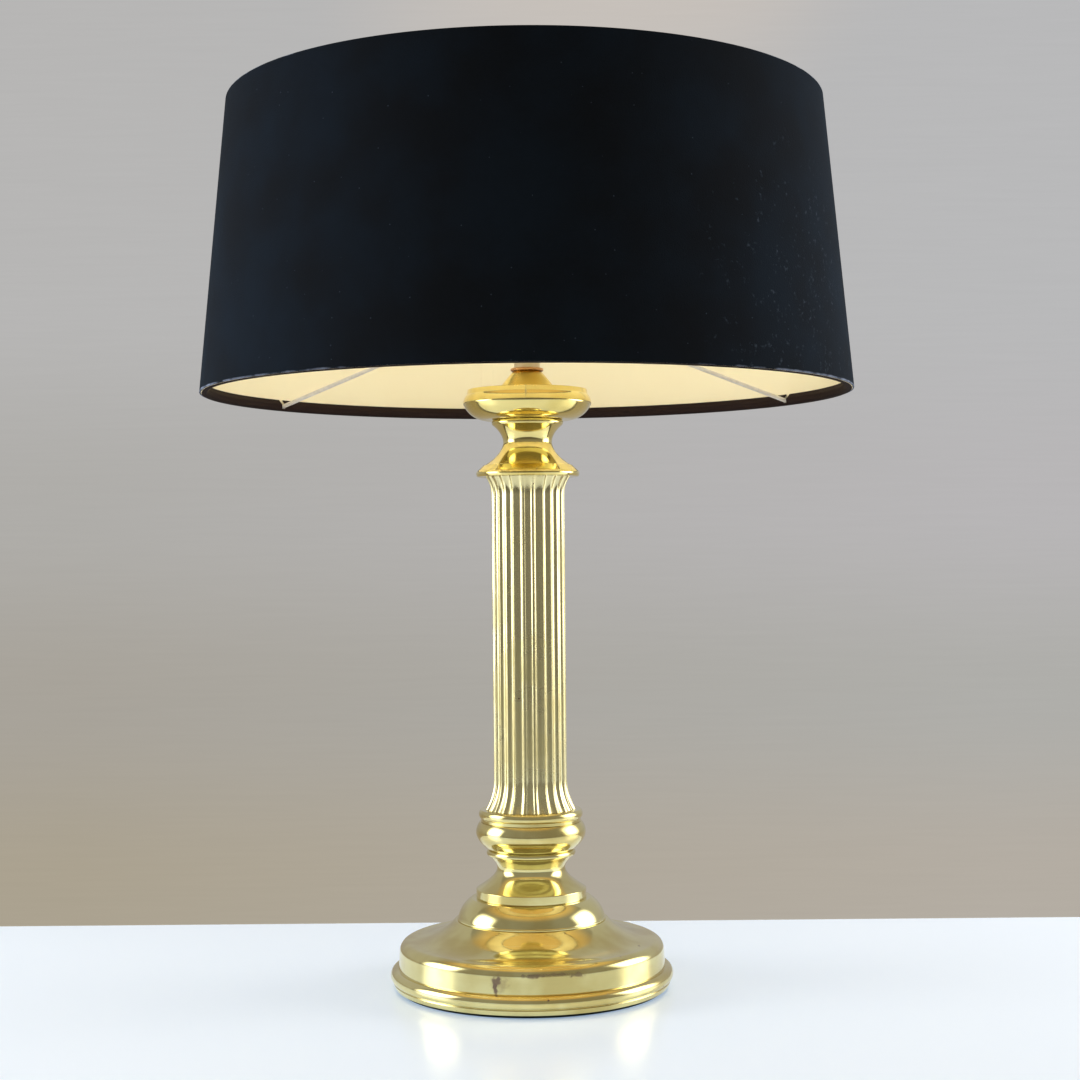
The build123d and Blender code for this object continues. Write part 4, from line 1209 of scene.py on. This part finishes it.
@dataclass
class Capital:
    """The flange and the waisted neck on top of the column, and the dish over them."""

    hole: float = 5.4
    foot: float = 353.7
    spigot: Point = (22.55, 348.7)
    flange_radius: float = 36.1
    flange_edge: float = 1.1
    rim_height: float = 4.4
    flange_top: Point = (31.0, 361.8)
    neck_foot: float = 30.4
    neck_waist: Point = (17.1, 378.4)
    neck_bead: float = 25.0
    bead_bottom: float = 389.5
    bead_round: float = 0.95
    neck_top: float = 393.3
    neck_core: float = 13.9
    web: float = 4.0
    dish_floor: float = 30.0
    dish_belly: Point = (44.5, 404.3)
    dish_shoulder: Point = (44.0, 408.1)
    lip_foot: Point = (42.1, 411.0)
    lip_top: Point = (41.6, 414.4)
    dish_wall: float = 1.0

    def build_flange(self) -> Piece:
        """Turns the flange that caps the column.

        Returns:
            The flange, with the spigot that enters the tube.
        """
        edge = self.flange_radius - self.flange_edge
        crest = (self.flange_radius, self.foot + self.rim_height / 2)
        outline = Outline([(self.hole, self.flange_top[1])])
        outline.to((self.hole, self.spigot[1]), self.spigot, (self.spigot[0], self.foot), (edge, self.foot))
        outline.through(crest, (edge, self.foot + self.rim_height), 14)
        return turn_off("flange_turned", outline.to(self.flange_top).close(), 0.3)

    def build_neck(self) -> Piece:
        """Turns the waisted neck with its bead.

        Returns:
            The neck.
        """
        web_level = self.neck_top - self.web
        bead = self.neck_bead - self.bead_round
        outline = Outline([(self.hole, web_level)])
        outline.to((self.neck_core, web_level), (self.neck_core, self.flange_top[1]))
        outline.to((self.neck_foot, self.flange_top[1]))
        outline.flow((-1.0, 0.55), self.neck_waist, (bead, self.bead_bottom), (1.0, 0.75))
        crest = (self.neck_bead, (self.bead_bottom + self.neck_top) / 2)
        outline.through(crest, (bead, self.neck_top), 12)
        return turn_off("neck_turned", outline.to((self.hole, self.neck_top)).close(), 0.6, 4)

    def build_dish(self) -> Piece:
        """Spins the open dish with its round belly and upright lip.

        Returns:
            The dish.
        """
        outline = Outline([(self.hole, self.neck_top)])
        outline.to((self.dish_floor, self.neck_top)).lead((1.0, 0.1), self.dish_belly, 18)
        outline.through(self.dish_shoulder, self.lip_foot, 8).to(self.lip_top)
        return turn_off("dish_spun", outline, 0.3, wall=self.dish_wall)

    def dress(self) -> None:
        """Models the three pieces in lacquered brass."""
        # Their yellower brass is a painted reflection of the lit lining's warm light.
        hand_over(self.build_flange(), Body.STAND, "lacquered_brass", WARM_LIT_BRASS, "upper_flange")
        hand_over(self.build_neck(), Body.STAND, "lacquered_brass", WARM_LIT_BRASS, "capital_neck")
        hand_over(self.build_dish(), Body.STAND, "lacquered_brass", WARM_LIT_BRASS, "drip_dish")


# ---------------------------------------------------------------------------
# Lampholder and bulb
# ---------------------------------------------------------------------------


@dataclass
class Lampholder:
    """The bell cap, the lock disc and the threaded lampholder with its shade rings."""

    hole: float = 5.4
    bell_foot: Point = (24.0, 394.3)
    bell_band: Point = (24.0, 408.3)
    bell_belly: Point = (17.3, 418.3)
    bell_top: Point = (9.5, 427.4)
    bell_wall: float = 1.0
    disc_radius: float = 11.4
    disc_thickness: float = 2.0
    disc_chamfer: float = 0.4
    rod_radius: float = 5.0
    skirt_radius: float = 19.8
    skirt_wall: float = 1.6
    skirt_foot: float = 452.4
    skirt_top: float = 488.4
    thread_depth: float = 0.65
    thread_pitch: float = 2.5
    thread_turns: int = 13
    collar: float = 1.6
    run_out: float = 0.6
    rim: float = 0.5

    def build_bell(self) -> Piece:
        """Spins the bell cap that stands in the dish.

        Returns:
            The bell cap, open below.
        """
        outline = Outline([self.bell_foot]).to(self.bell_band)
        outline.through(self.bell_belly, self.bell_top, 14).to((self.hole, self.bell_top[1]))
        return turn_off("bell_spun", outline, 0.6, 4, wall=self.bell_wall)

    def build_disc(self) -> Piece:
        """Turns the lock disc on the nose of the bell cap.

        Returns:
            The disc.
        """
        low, high = self.bell_top[1], self.bell_top[1] + self.disc_thickness
        edge = self.disc_radius - self.disc_chamfer
        outline = Outline([(self.rod_radius, low)])
        outline.to((edge, low), (self.disc_radius, low + self.disc_chamfer))
        outline.to((self.disc_radius, high - self.disc_chamfer), (edge, high), (self.rod_radius, high))
        return turn_off("lock_disc_turned", outline.close(), 0.15, 2, steps=96)

    def build_skirt(self) -> Piece:
        """Models the sleeve with the coarse outside thread for the shade rings.

        Returns:
            The threaded skirt.
        """
        outside, low, high = self.skirt_radius, self.skirt_foot, self.skirt_top
        inside = outside - self.skirt_wall
        core = outside - self.thread_depth + THREAD_LAP
        neck = self.collar + self.run_out
        outline = Outline([(inside, low)])
        outline.to((outside, low), (outside, low + self.collar), (core, low + neck), (core, high - neck))
        outline.to((outside, high - self.collar), (outside, high - self.rim), (outside - self.rim, high))
        sleeve = turn("skirt_sleeve", outline.to((inside, high)).close(), 144)
        start = low + self.collar
        ridge = cut_thread(
            "skirt_thread", outside, self.thread_depth, self.thread_pitch, start, self.thread_turns
        )
        piece = join([sleeve, ridge], "skirt_threaded")
        soften(piece, 0.12, 2, sharp=50.0)
        return piece

    def dress(self) -> None:
        """Models the cap, disc and skirt and paints the moulded and stamped pieces."""
        hand_over(self.build_bell(), Body.STAND, "lacquered_brass", BELL_BRASS, "bell_cap")
        hand_over(self.build_disc(), Body.STAND, "lacquered_brass", DISC_BRASS, "lock_disc")
        hand_over(self.build_skirt(), Body.STAND, "cream_thermoset", THERMOSET, "holder_skirt")
        dress(THERMOSET, "holder_cap", "shade_rest_ring", "shade_clamp_ring")
        dress(PORCELAIN, "holder_insulator")
        dress(STAMPED_BRASS, "terminal_screws", "screw_shell", "centre_contact")


@dataclass
class OpalBulb:
    """The opal bulb with its threaded nickel cap."""

    cap_radius: float = 13.1
    cap_foot: float = 466.9
    cap_top: float = 490.9
    cap_wall: float = 0.4
    collar: Point = (3.2, 2.4)
    thread_depth: float = 0.9
    thread_pitch: float = 3.6
    thread_start: float = 1.0
    thread_turns: int = 5

    def build_cap(self) -> Piece:
        """Rolls the thread into the cap.

        Returns:
            The threaded cap.
        """
        core = self.cap_radius - self.thread_depth + THREAD_LAP
        inside = core - self.cap_wall
        cone_foot, cone_top = (self.cap_top - drop for drop in self.collar)
        outline = Outline([(inside, self.cap_foot)])
        outline.to((core, self.cap_foot), (core, cone_foot), (self.cap_radius, cone_top))
        outline.to((self.cap_radius, self.cap_top), (inside, self.cap_top)).close()
        sleeve = turn("bulb_sleeve", outline, 96)
        start = self.cap_foot + self.thread_start
        ridge = cut_thread(
            "bulb_thread", self.cap_radius, self.thread_depth, self.thread_pitch, start, self.thread_turns
        )
        piece = join([sleeve, ridge], "bulb_cap_threaded")
        soften(piece, 0.12, 2, sharp=50.0)
        return piece

    def dress(self) -> None:
        """Models the cap and lights the glass."""
        hand_over(self.build_cap(), Body.BULB, "nickel_cap", NICKEL, "bulb_cap")
        dress(SOLDER, "bulb_tip")
        dress(BLACK_GLASS, "bulb_insulator")
        dress(OPAL, "bulb_glass")


# ---------------------------------------------------------------------------
# The shade
# ---------------------------------------------------------------------------


@dataclass
class DrumShade:
    """The velvet cover, its lit lining, the taped rims and the wire frame."""

    foot: float = 411.0
    height: float = 199.4
    foot_radius: float = 225.0
    head_radius: float = 206.0
    cover_wall: float = 1.1
    cover_lap: float = 0.4
    lining_wall: float = 0.5
    lining_lap: float = 0.25
    tape: float = 0.6
    tape_reach: float = 7.5
    tape_nip: float = 0.4
    fold_corner: float = 1.6
    fold_straight: float = 3.4
    fold_tuck: Point = (4.8, 1.0)
    tuck_round: float = 1.8
    wire_radius: float = 1.5
    wire_gap: float = 0.1
    seam_angle: float = 98.6
    seam_width: float = 9.0
    strut_angles: Spot = (28.0, 148.0, 268.0)
    notch_width: float = 4.2
    notch_rim: float = 1.0
    rows: int = 16
    steps: int = 288
    blank: Point = (1.393, 0.296)
    cover_area: float = 0.2712
    lining_area: float = 0.2692

    def radius_at(self, level: float, depth: float = 0.0) -> float:
        """Gives the tapered shade's radius.

        Args:
            level: The height in millimetres.
            depth: How deep below the outer face.

        Returns:
            The radius in millimetres.
        """
        share = (level - self.foot) / self.height
        return self.foot_radius + (self.head_radius - self.foot_radius) * share - depth

    def lap_seam(self, piece: Piece, lift: float, side: float) -> None:
        """Raises the strip where the sheet laps over its own end.

        Args:
            piece: The skin, already thick.
            lift: How far the strip stands proud, in millimetres.
            side: One for the outer face, minus one for the inner.
        """
        half = math.degrees(self.seam_width / 2 / self.foot_radius)

        def on_seam(face: bmesh.types.BMFace) -> bool:
            """Says whether a face is on the strip.

            Args:
                face: The face.

            Returns:
                True where it is.
            """
            middle = face.calc_center_median()
            angle = math.degrees(math.atan2(middle.y, middle.x))
            outwards = face.normal.x * middle.x + face.normal.y * middle.y
            return abs(angle - self.seam_angle) < half and outwards * side > 0.1 * self.foot_radius * MM

        bpy.ops.object.mode_set(mode="EDIT")
        pick_faces(piece, on_seam)
        bpy.ops.mesh.extrude_region_shrink_fatten(TRANSFORM_OT_shrink_fatten={"value": lift * MM})
        bpy.ops.mesh.select_all(action="DESELECT")
        bpy.ops.object.mode_set(mode="OBJECT")

    def wrap(self, name: str, depth: float, wall: float, lap: float, edge: Point) -> Piece:
        """Wraps one layer of the shade round the frame, lapped at the back.

        Args:
            name: The new piece's name.
            depth: How deep below the shade's outer face it lies, in millimetres.
            wall: Its thickness.
            lap: How far the lap stands proud, below nought for one that faces inwards.
            edge: The reach of each edge's rounding and how many facets it has.

        Returns:
            The layer.
        """
        levels = [self.foot + self.height * row / self.rows for row in range(self.rows + 1)]
        piece = turn(name, Outline([(self.radius_at(level, depth), level) for level in levels]), self.steps)
        thicken(piece, wall)
        self.lap_seam(piece, abs(lap), math.copysign(1.0, lap))
        soften(piece, edge[0], int(edge[1]))
        return piece

    def fold(self, rim: float, inward: float) -> Outline:
        """Draws the tape's fold round the wire.

        Args:
            rim: The level of the rim.
            inward: One where the shade lies above the rim, minus one where it lies below.

        Returns:
            The outer face of the fold, from the rim inwards and back to the lining.
        """
        bulge = 2 * (self.wire_radius + self.wire_gap) + self.tape

        def spot(up: float, depth: float) -> Point:
            """Places a point of the fold.

            Args:
                up: How far it is from the rim.
                depth: How far it stands in from the lining.

            Returns:
                Its radius and level.
            """
            level = rim + inward * up
            return self.radius_at(level, self.cover_wall + self.lining_wall + depth), level

        corner, end = self.fold_corner, self.tape_reach
        tuck, drop = self.fold_tuck
        outline = Outline([spot(0.0, 0.0)]).to(spot(0.0, bulge - corner))
        outline.swing(spot(corner, bulge), -corner * inward, 6).to(spot(self.fold_straight, bulge))
        outline.swing(spot(tuck, bulge - drop), -self.tuck_round * inward, 5)
        return outline.to(spot(end - self.tape_nip, self.tape * 0.9), spot(end, self.tape * 0.5))

    def notch(self, piece: Piece, rim: float) -> None:
        """Cuts the tape open where the struts pass.

        Args:
            piece: The tape, one face thick.
            rim: The level of its rim.
        """
        struts = [math.radians(strut) for strut in self.strut_angles]
        half = self.notch_width / 2 / self.foot_radius

        def in_notch(face: bmesh.types.BMFace) -> bool:
            """Says whether a face lies where a strut passes.

            Args:
                face: The face.

            Returns:
                True where it does.
            """
            middle = face.calc_center_median()
            angle = math.atan2(middle.y, middle.x)
            away = min(abs(math.remainder(angle - strut, math.tau)) for strut in struts)
            return away < half and middle.z > (rim + self.notch_rim) * MM

        bpy.ops.object.mode_set(mode="EDIT")
        for edge in [strut + side for strut in struts for side in (-half, half)]:
            bpy.ops.mesh.select_all(action="SELECT")
            bpy.ops.mesh.bisect(plane_co=(0.0, 0.0, 0.0), plane_no=(-math.sin(edge), math.cos(edge), 0.0))
        pick_faces(piece, in_notch)
        bpy.ops.mesh.delete(type="FACE")
        bpy.ops.object.mode_set(mode="OBJECT")

    def build_tape(self, name: str, rim: float, inward: float, notched: bool) -> Piece:
        """Folds the tape round the wire at one rim.

        Args:
            name: The new piece's name.
            rim: The level of the rim.
            inward: One where the shade lies above the rim, minus one where it lies below.
            notched: Whether it is cut open where the struts pass.

        Returns:
            The folded tape.
        """
        piece = turn(name, self.fold(rim, inward), self.steps)
        if notched:
            self.notch(piece, rim)
        thicken(piece, self.tape)
        soften(piece, 0.12, 2)
        return piece

    def dress(self) -> None:
        velvet = self.wrap("cover_velvet", 0.0, self.cover_wall, self.cover_lap, (0.3, 3))
        cover = hand_over(velvet, Body.SHADE, "black_velvet", VELVET, "shade_cover")
        laminate = self.wrap("lining_laminate", self.cover_wall, self.lining_wall, -self.lining_lap, (0.1, 2))
        lining = hand_over(laminate, Body.SHADE, "cream_lining", LINING, "shade_lining")
        low = self.build_tape("tape_bottom", self.foot, 1.0, True)
        high = self.build_tape("tape_top", self.foot + self.height, -1.0, False)
        hand_over(low, Body.SHADE, "brown_tape", TAPE, "bottom_hem")
        hand_over(high, Body.SHADE, "brown_tape", TAPE, "top_hem")
        dress(WIRE, "shade_spider", "shade_bottom_ring", "shade_top_ring")


# ---------------------------------------------------------------------------
# The studio
# ---------------------------------------------------------------------------


@dataclass(frozen=True)
class SoftBox:
    """One rectangular lamp: where it stands, where it points, its size and its radiance."""

    name: str
    place: Spot
    target: Spot
    width: float
    height: float
    radiance: float
    colour: str = "#ffffff"
    soft_edge: float = 0.4

    def fade(self, tree: Tree) -> Node:
        """Fades the glow towards the cloth's edges.

        Args:
            tree: The lamp's own tree.

        Returns:
            The node that gives the glow's strength, one in the middle and nought at the edge.
        """
        axes = add_node(tree, "SeparateXYZ", {"Vector": add_node(tree, "NewGeometry").outputs["Parametric"]})
        sides: list[Node] = []
        for axis in ("X", "Y"):
            off = add_node(tree, "Math", {0: axes.outputs[axis], 1: 0.5}, operation="SUBTRACT")
            gap = add_node(tree, "Math", {0: off}, operation="ABSOLUTE")
            reach = {"Value": gap, "From Min": 0.5, "From Max": 0.5 - self.soft_edge}
            sides.append(add_node(tree, "MapRange", reach, interpolation_type="SMOOTHSTEP"))
        return add_node(tree, "Math", {0: sides[0], 1: sides[1]}, operation="MULTIPLY")

    def light(self) -> None:
        """Sets up the lamp, aimed at its target."""
        data = bpy.data.lights.new(self.name, "AREA")
        data.shape = "RECTANGLE"
        data.size = self.width
        data.size_y = self.height
        data.energy = self.radiance * math.pi * self.width * self.height
        data.color = linear(self.colour)[:3]
        data.use_nodes = True
        cloth = data.node_tree
        glow = add_node(cloth, "Emission", {"Strength": self.fade(cloth)})
        out = next(node for node in cloth.nodes if node.type == "OUTPUT_LIGHT")
        fill(cloth, out, {"Surface": glow})
        lamp = bpy.data.objects.new(self.name, data)
        bpy.context.scene.collection.objects.link(lamp)
        lamp.location = self.place
        lamp.rotation_euler = (Vector(self.target) - Vector(self.place)).to_track_quat("-Z", "Y").to_euler()


@dataclass
class Studio:
    """A white table, a grey wall, two large soft boxes and the camera."""

    table_back: float = 0.221
    table_reach: float = 0.75
    table_half_width: float = 2.4
    table_tone: str = "#e9edf2"
    table_lift: Colour = (0.19, 0.28, 0.40, 1.0)
    table_gloss: float = 0.2
    wall_place: Spot = (0.0, 2.3, 0.5)
    wall_size: Point = (12.0, 6.0)
    wall_levels: tuple[float, ...] = (-0.33, 0.02, 0.40, 0.80)
    wall_left: tuple[str, ...] = ("#aba290", "#a8a39a", "#afada9", "#b7b6b5")
    wall_right: tuple[str, ...] = ("#b4ada3", "#afaeaa", "#b8b6b7", "#b9b9ba")
    wall_half_view: float = 0.9
    # A pool of the lamp's light, painted on the wall.
    painted_lamp_halo: Mark = Mark((100.0, 2300.0, 1500.0), (700.0, 900.0, 420.0), 0.9)
    painted_halo_tone: str = "#c8c1ba"
    room_tones: tuple[str, str] = ("#5c564f", "#979693")
    room_rise: Point = (-0.35, 0.12)
    ceiling_tone: str = "#f0d092"
    ceiling_rise: Point = (0.66, 0.9)
    camera_place: Spot = (0.008, -1.286, 0.300)
    camera_pitch: float = 0.43
    camera_roll: float = 0.5
    lens: float = 61.5
    boxes: tuple[SoftBox, ...] = (
        SoftBox("soft_box_left", (-1.25, -0.12, 0.52), (0.0, 0.0, 0.3), 1.1, 1.25, 6.8, "#fbfdff"),
        SoftBox("soft_box_right", (1.2, 0.16, 0.52), (0.0, 0.0, 0.3), 1.2, 1.25, 5.9, "#fffefb"),
    )

    def put_sheet(self, name: str, size: Point, place: Spot, tilt: float) -> Piece:
        """Puts up one flat sheet of the stage.

        Args:
            name: The new sheet's name.
            size: Its width and height in metres.
            place: Where its middle is.
            tilt: How far it is turned up about X, in radians.

        Returns:
            The sheet, with its place in its mesh.
        """
        bpy.ops.object.select_all(action="DESELECT")
        bpy.ops.mesh.primitive_plane_add(size=1.0, rotation=(tilt, 0.0, 0.0))
        sheet = bpy.context.active_object
        sheet.name = name
        sheet.scale = (*size, 1.0)
        sheet.location = place
        bpy.ops.object.transform_apply(location=True, rotation=True, scale=True)
        return sheet

    def new_paint(self, name: str, sheet: Piece) -> Tree:
        """Gives a sheet a new material.

        Args:
            name: The material's name.
            sheet: The sheet that wears it.

        Returns:
            The material's tree.
        """
        paint = bpy.data.materials.new(name)
        paint.use_nodes = True
        sheet.data.materials.append(paint)
        return paint.node_tree

    def clear_from_behind(self, tree: Tree, shader: Feed) -> None:
        """Lets light and eye through a stage sheet from its back.

        Args:
            tree: The material's tree.
            shader: What the front shows.
        """
        facing = add_node(tree, "NewGeometry").outputs["Backfacing"]
        mix = add_node(tree, "MixShader", {0: facing, 1: shader, 2: add_node(tree, "BsdfTransparent")})
        fill(tree, tree.nodes["Material Output"], {"Surface": mix})

    def seen(self, tree: Tree) -> Node:
        """Tells the eye's own rays and the reflected ones from the rest.

        Args:
            tree: The material's tree.

        Returns:
            The node that gives one for a ray from the eye, in a reflection or through glass,
            otherwise nought.
        """
        rays = add_node(tree, "LightPath").outputs
        camera, glossy, through = (rays[f"Is {kind} Ray"] for kind in ("Camera", "Glossy", "Transmission"))
        eye = add_node(tree, "Math", {0: camera, 1: glossy}, operation="MAXIMUM")
        return add_node(tree, "Math", {0: eye, 1: through}, operation="MAXIMUM")

    def lay_table(self) -> None:
        """Lays the table top, clear from below so that the underside can be seen."""
        size = (2 * self.table_half_width, self.table_reach + self.table_back)
        middle = (0.0, (self.table_back - self.table_reach) / 2, 0.0)
        table = self.put_sheet("table_top", size, middle, 0.0)
        tree = self.new_paint("table_white_lacquer", table)
        skin = tree.nodes["Principled BSDF"]
        fill(tree, skin, {"Base Color": linear(self.table_tone), "Roughness": self.table_gloss})
        fill(tree, skin, {"Emission Color": self.table_lift, "Emission Strength": self.seen(tree)})
        self.clear_from_behind(tree, skin)
        table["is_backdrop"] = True

    def blend_up(self, tree: Tree, level: Socket, tones: tuple[str, ...]) -> Feed:
        """Blends from tone to tone as the wall rises.

        Args:
            tree: The material's tree.
            level: The height in metres.
            tones: One colour for each of the wall's levels, from the lowest.

        Returns:
            The blended colour.
        """
        blend: Feed = linear(tones[0])
        for low, high, tone in zip(self.wall_levels, self.wall_levels[1:], tones[1:]):
            reach = {"Value": level, "From Min": low, "From Max": high}
            rise = add_node(tree, "MapRange", reach, interpolation_type="SMOOTHSTEP")
            blend = add_node(tree, "Mix", {0: rise, 6: blend, 7: linear(tone)}, data_type="RGBA")
        return blend

    def hang_wall(self) -> None:
        """Hangs the wall, which shows its own tone to the eye and in reflections."""
        wall = self.put_sheet("wall", self.wall_size, self.wall_place, math.pi / 2)
        tree = self.new_paint("wall_paper_grey", wall)
        place = add_node(tree, "TexCoord").outputs["Object"]
        axes = add_node(tree, "SeparateXYZ", {"Vector": place}).outputs
        left, right = (self.blend_up(tree, axes["Z"], tones) for tones in (self.wall_left, self.wall_right))
        half = self.wall_half_view
        across = add_node(tree, "MapRange", {"Value": axes["X"], "From Min": -half, "From Max": half})
        wide = add_node(tree, "Mix", {0: across, 6: left, 7: right}, data_type="RGBA")
        # A faint halo of the lamp's light, thrown through its open top, is painted high on the wall.
        ragged = add_node(tree, "TexNoise", {"Scale": 0.9, "Detail": 1.0, "Vector": place})
        painted_lamp_halo = self.painted_lamp_halo.mask(tree, place, ragged)
        tone = add_node(tree, "Mix", {0: painted_lamp_halo, 6: wide, 7: linear(self.painted_halo_tone)}, data_type="RGBA")
        # The paper's threads lie level, a few millimetres apart.
        threads = add_node(tree, "Mapping", {"Scale": (6.0, 1.0, 160.0), "Vector": place})
        weave = add_node(tree, "TexNoise", {"Scale": 1.0, "Detail": 3.0, "Vector": threads})
        shade = add_node(tree, "MapRange", {"Value": weave, "To Min": 0.975, "To Max": 1.025})
        tone = add_node(tree, "VectorMath", {0: tone, 1: shade}, operation="MULTIPLY")
        shown = add_node(tree, "Emission", {"Color": tone})
        plain = add_node(tree, "BsdfDiffuse", {"Color": tone})
        self.clear_from_behind(tree, add_node(tree, "MixShader", {0: self.seen(tree), 1: plain, 2: shown}))
        wall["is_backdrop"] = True

    def set_world(self) -> None:
        """Fills the room with grey light, dimmer from below and warm where the lamp lights the ceiling."""
        world = bpy.data.worlds.new("room")
        bpy.context.scene.world = world
        world.use_nodes = True
        tree = world.node_tree
        place = add_node(tree, "TexCoord").outputs["Generated"]
        rise = add_node(tree, "SeparateXYZ", {"Vector": place}).outputs["Z"]
        low, high = self.room_rise
        share = add_node(tree, "MapRange", {"Value": rise, "From Min": low, "From Max": high})
        floor, air = (linear(tone) for tone in self.room_tones)
        walls = add_node(tree, "Mix", {0: share, 6: floor, 7: air}, data_type="RGBA")
        low, high = self.ceiling_rise
        reach = {"Value": rise, "From Min": low, "From Max": high}
        overhead = add_node(tree, "MapRange", reach, interpolation_type="SMOOTHSTEP")
        tone = add_node(tree, "Mix", {0: overhead, 6: walls, 7: linear(self.ceiling_tone)}, data_type="RGBA")
        fill(tree, tree.nodes["Background"], {"Color": tone})

    def set_camera(self) -> None:
        """Stands the camera where the photographer stood."""
        data = bpy.data.cameras.new("camera")
        data.lens = self.lens
        data.sensor_width = 36.0
        camera = bpy.data.objects.new("camera", data)
        bpy.context.scene.collection.objects.link(camera)
        camera.location = self.camera_place
        camera.rotation_euler = (math.radians(90.0 + self.camera_pitch), math.radians(self.camera_roll), 0.0)
        bpy.context.scene.camera = camera

    def set_up(self) -> None:
        """Sets the whole studio."""
        bpy.context.scene.view_settings.view_transform = "Standard"
        self.lay_table()
        self.hang_wall()
        self.set_world()
        self.set_camera()
        for box in self.boxes:
            box.light()


def main() -> None:
    """Builds the lamp from the foot up, then the studio, and logs each shown piece's face count."""
    logging.basicConfig(level=logging.INFO, format="%(name)s: %(message)s")
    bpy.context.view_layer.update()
    for part in (
        WeightedFoot(),
        Pedestal(),
        FlutedColumn(),
        Capital(),
        Lampholder(),
        OpalBulb(),
        DrumShade(),
    ):
        part.dress()
        log.info("%s is dressed", type(part).__name__)
    Studio().set_up()
    log.info("studio is set")
    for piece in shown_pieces():
        log.info("%s: %d faces", piece.name, len(piece.data.polygons))


if __name__ == "__main__":
    main()
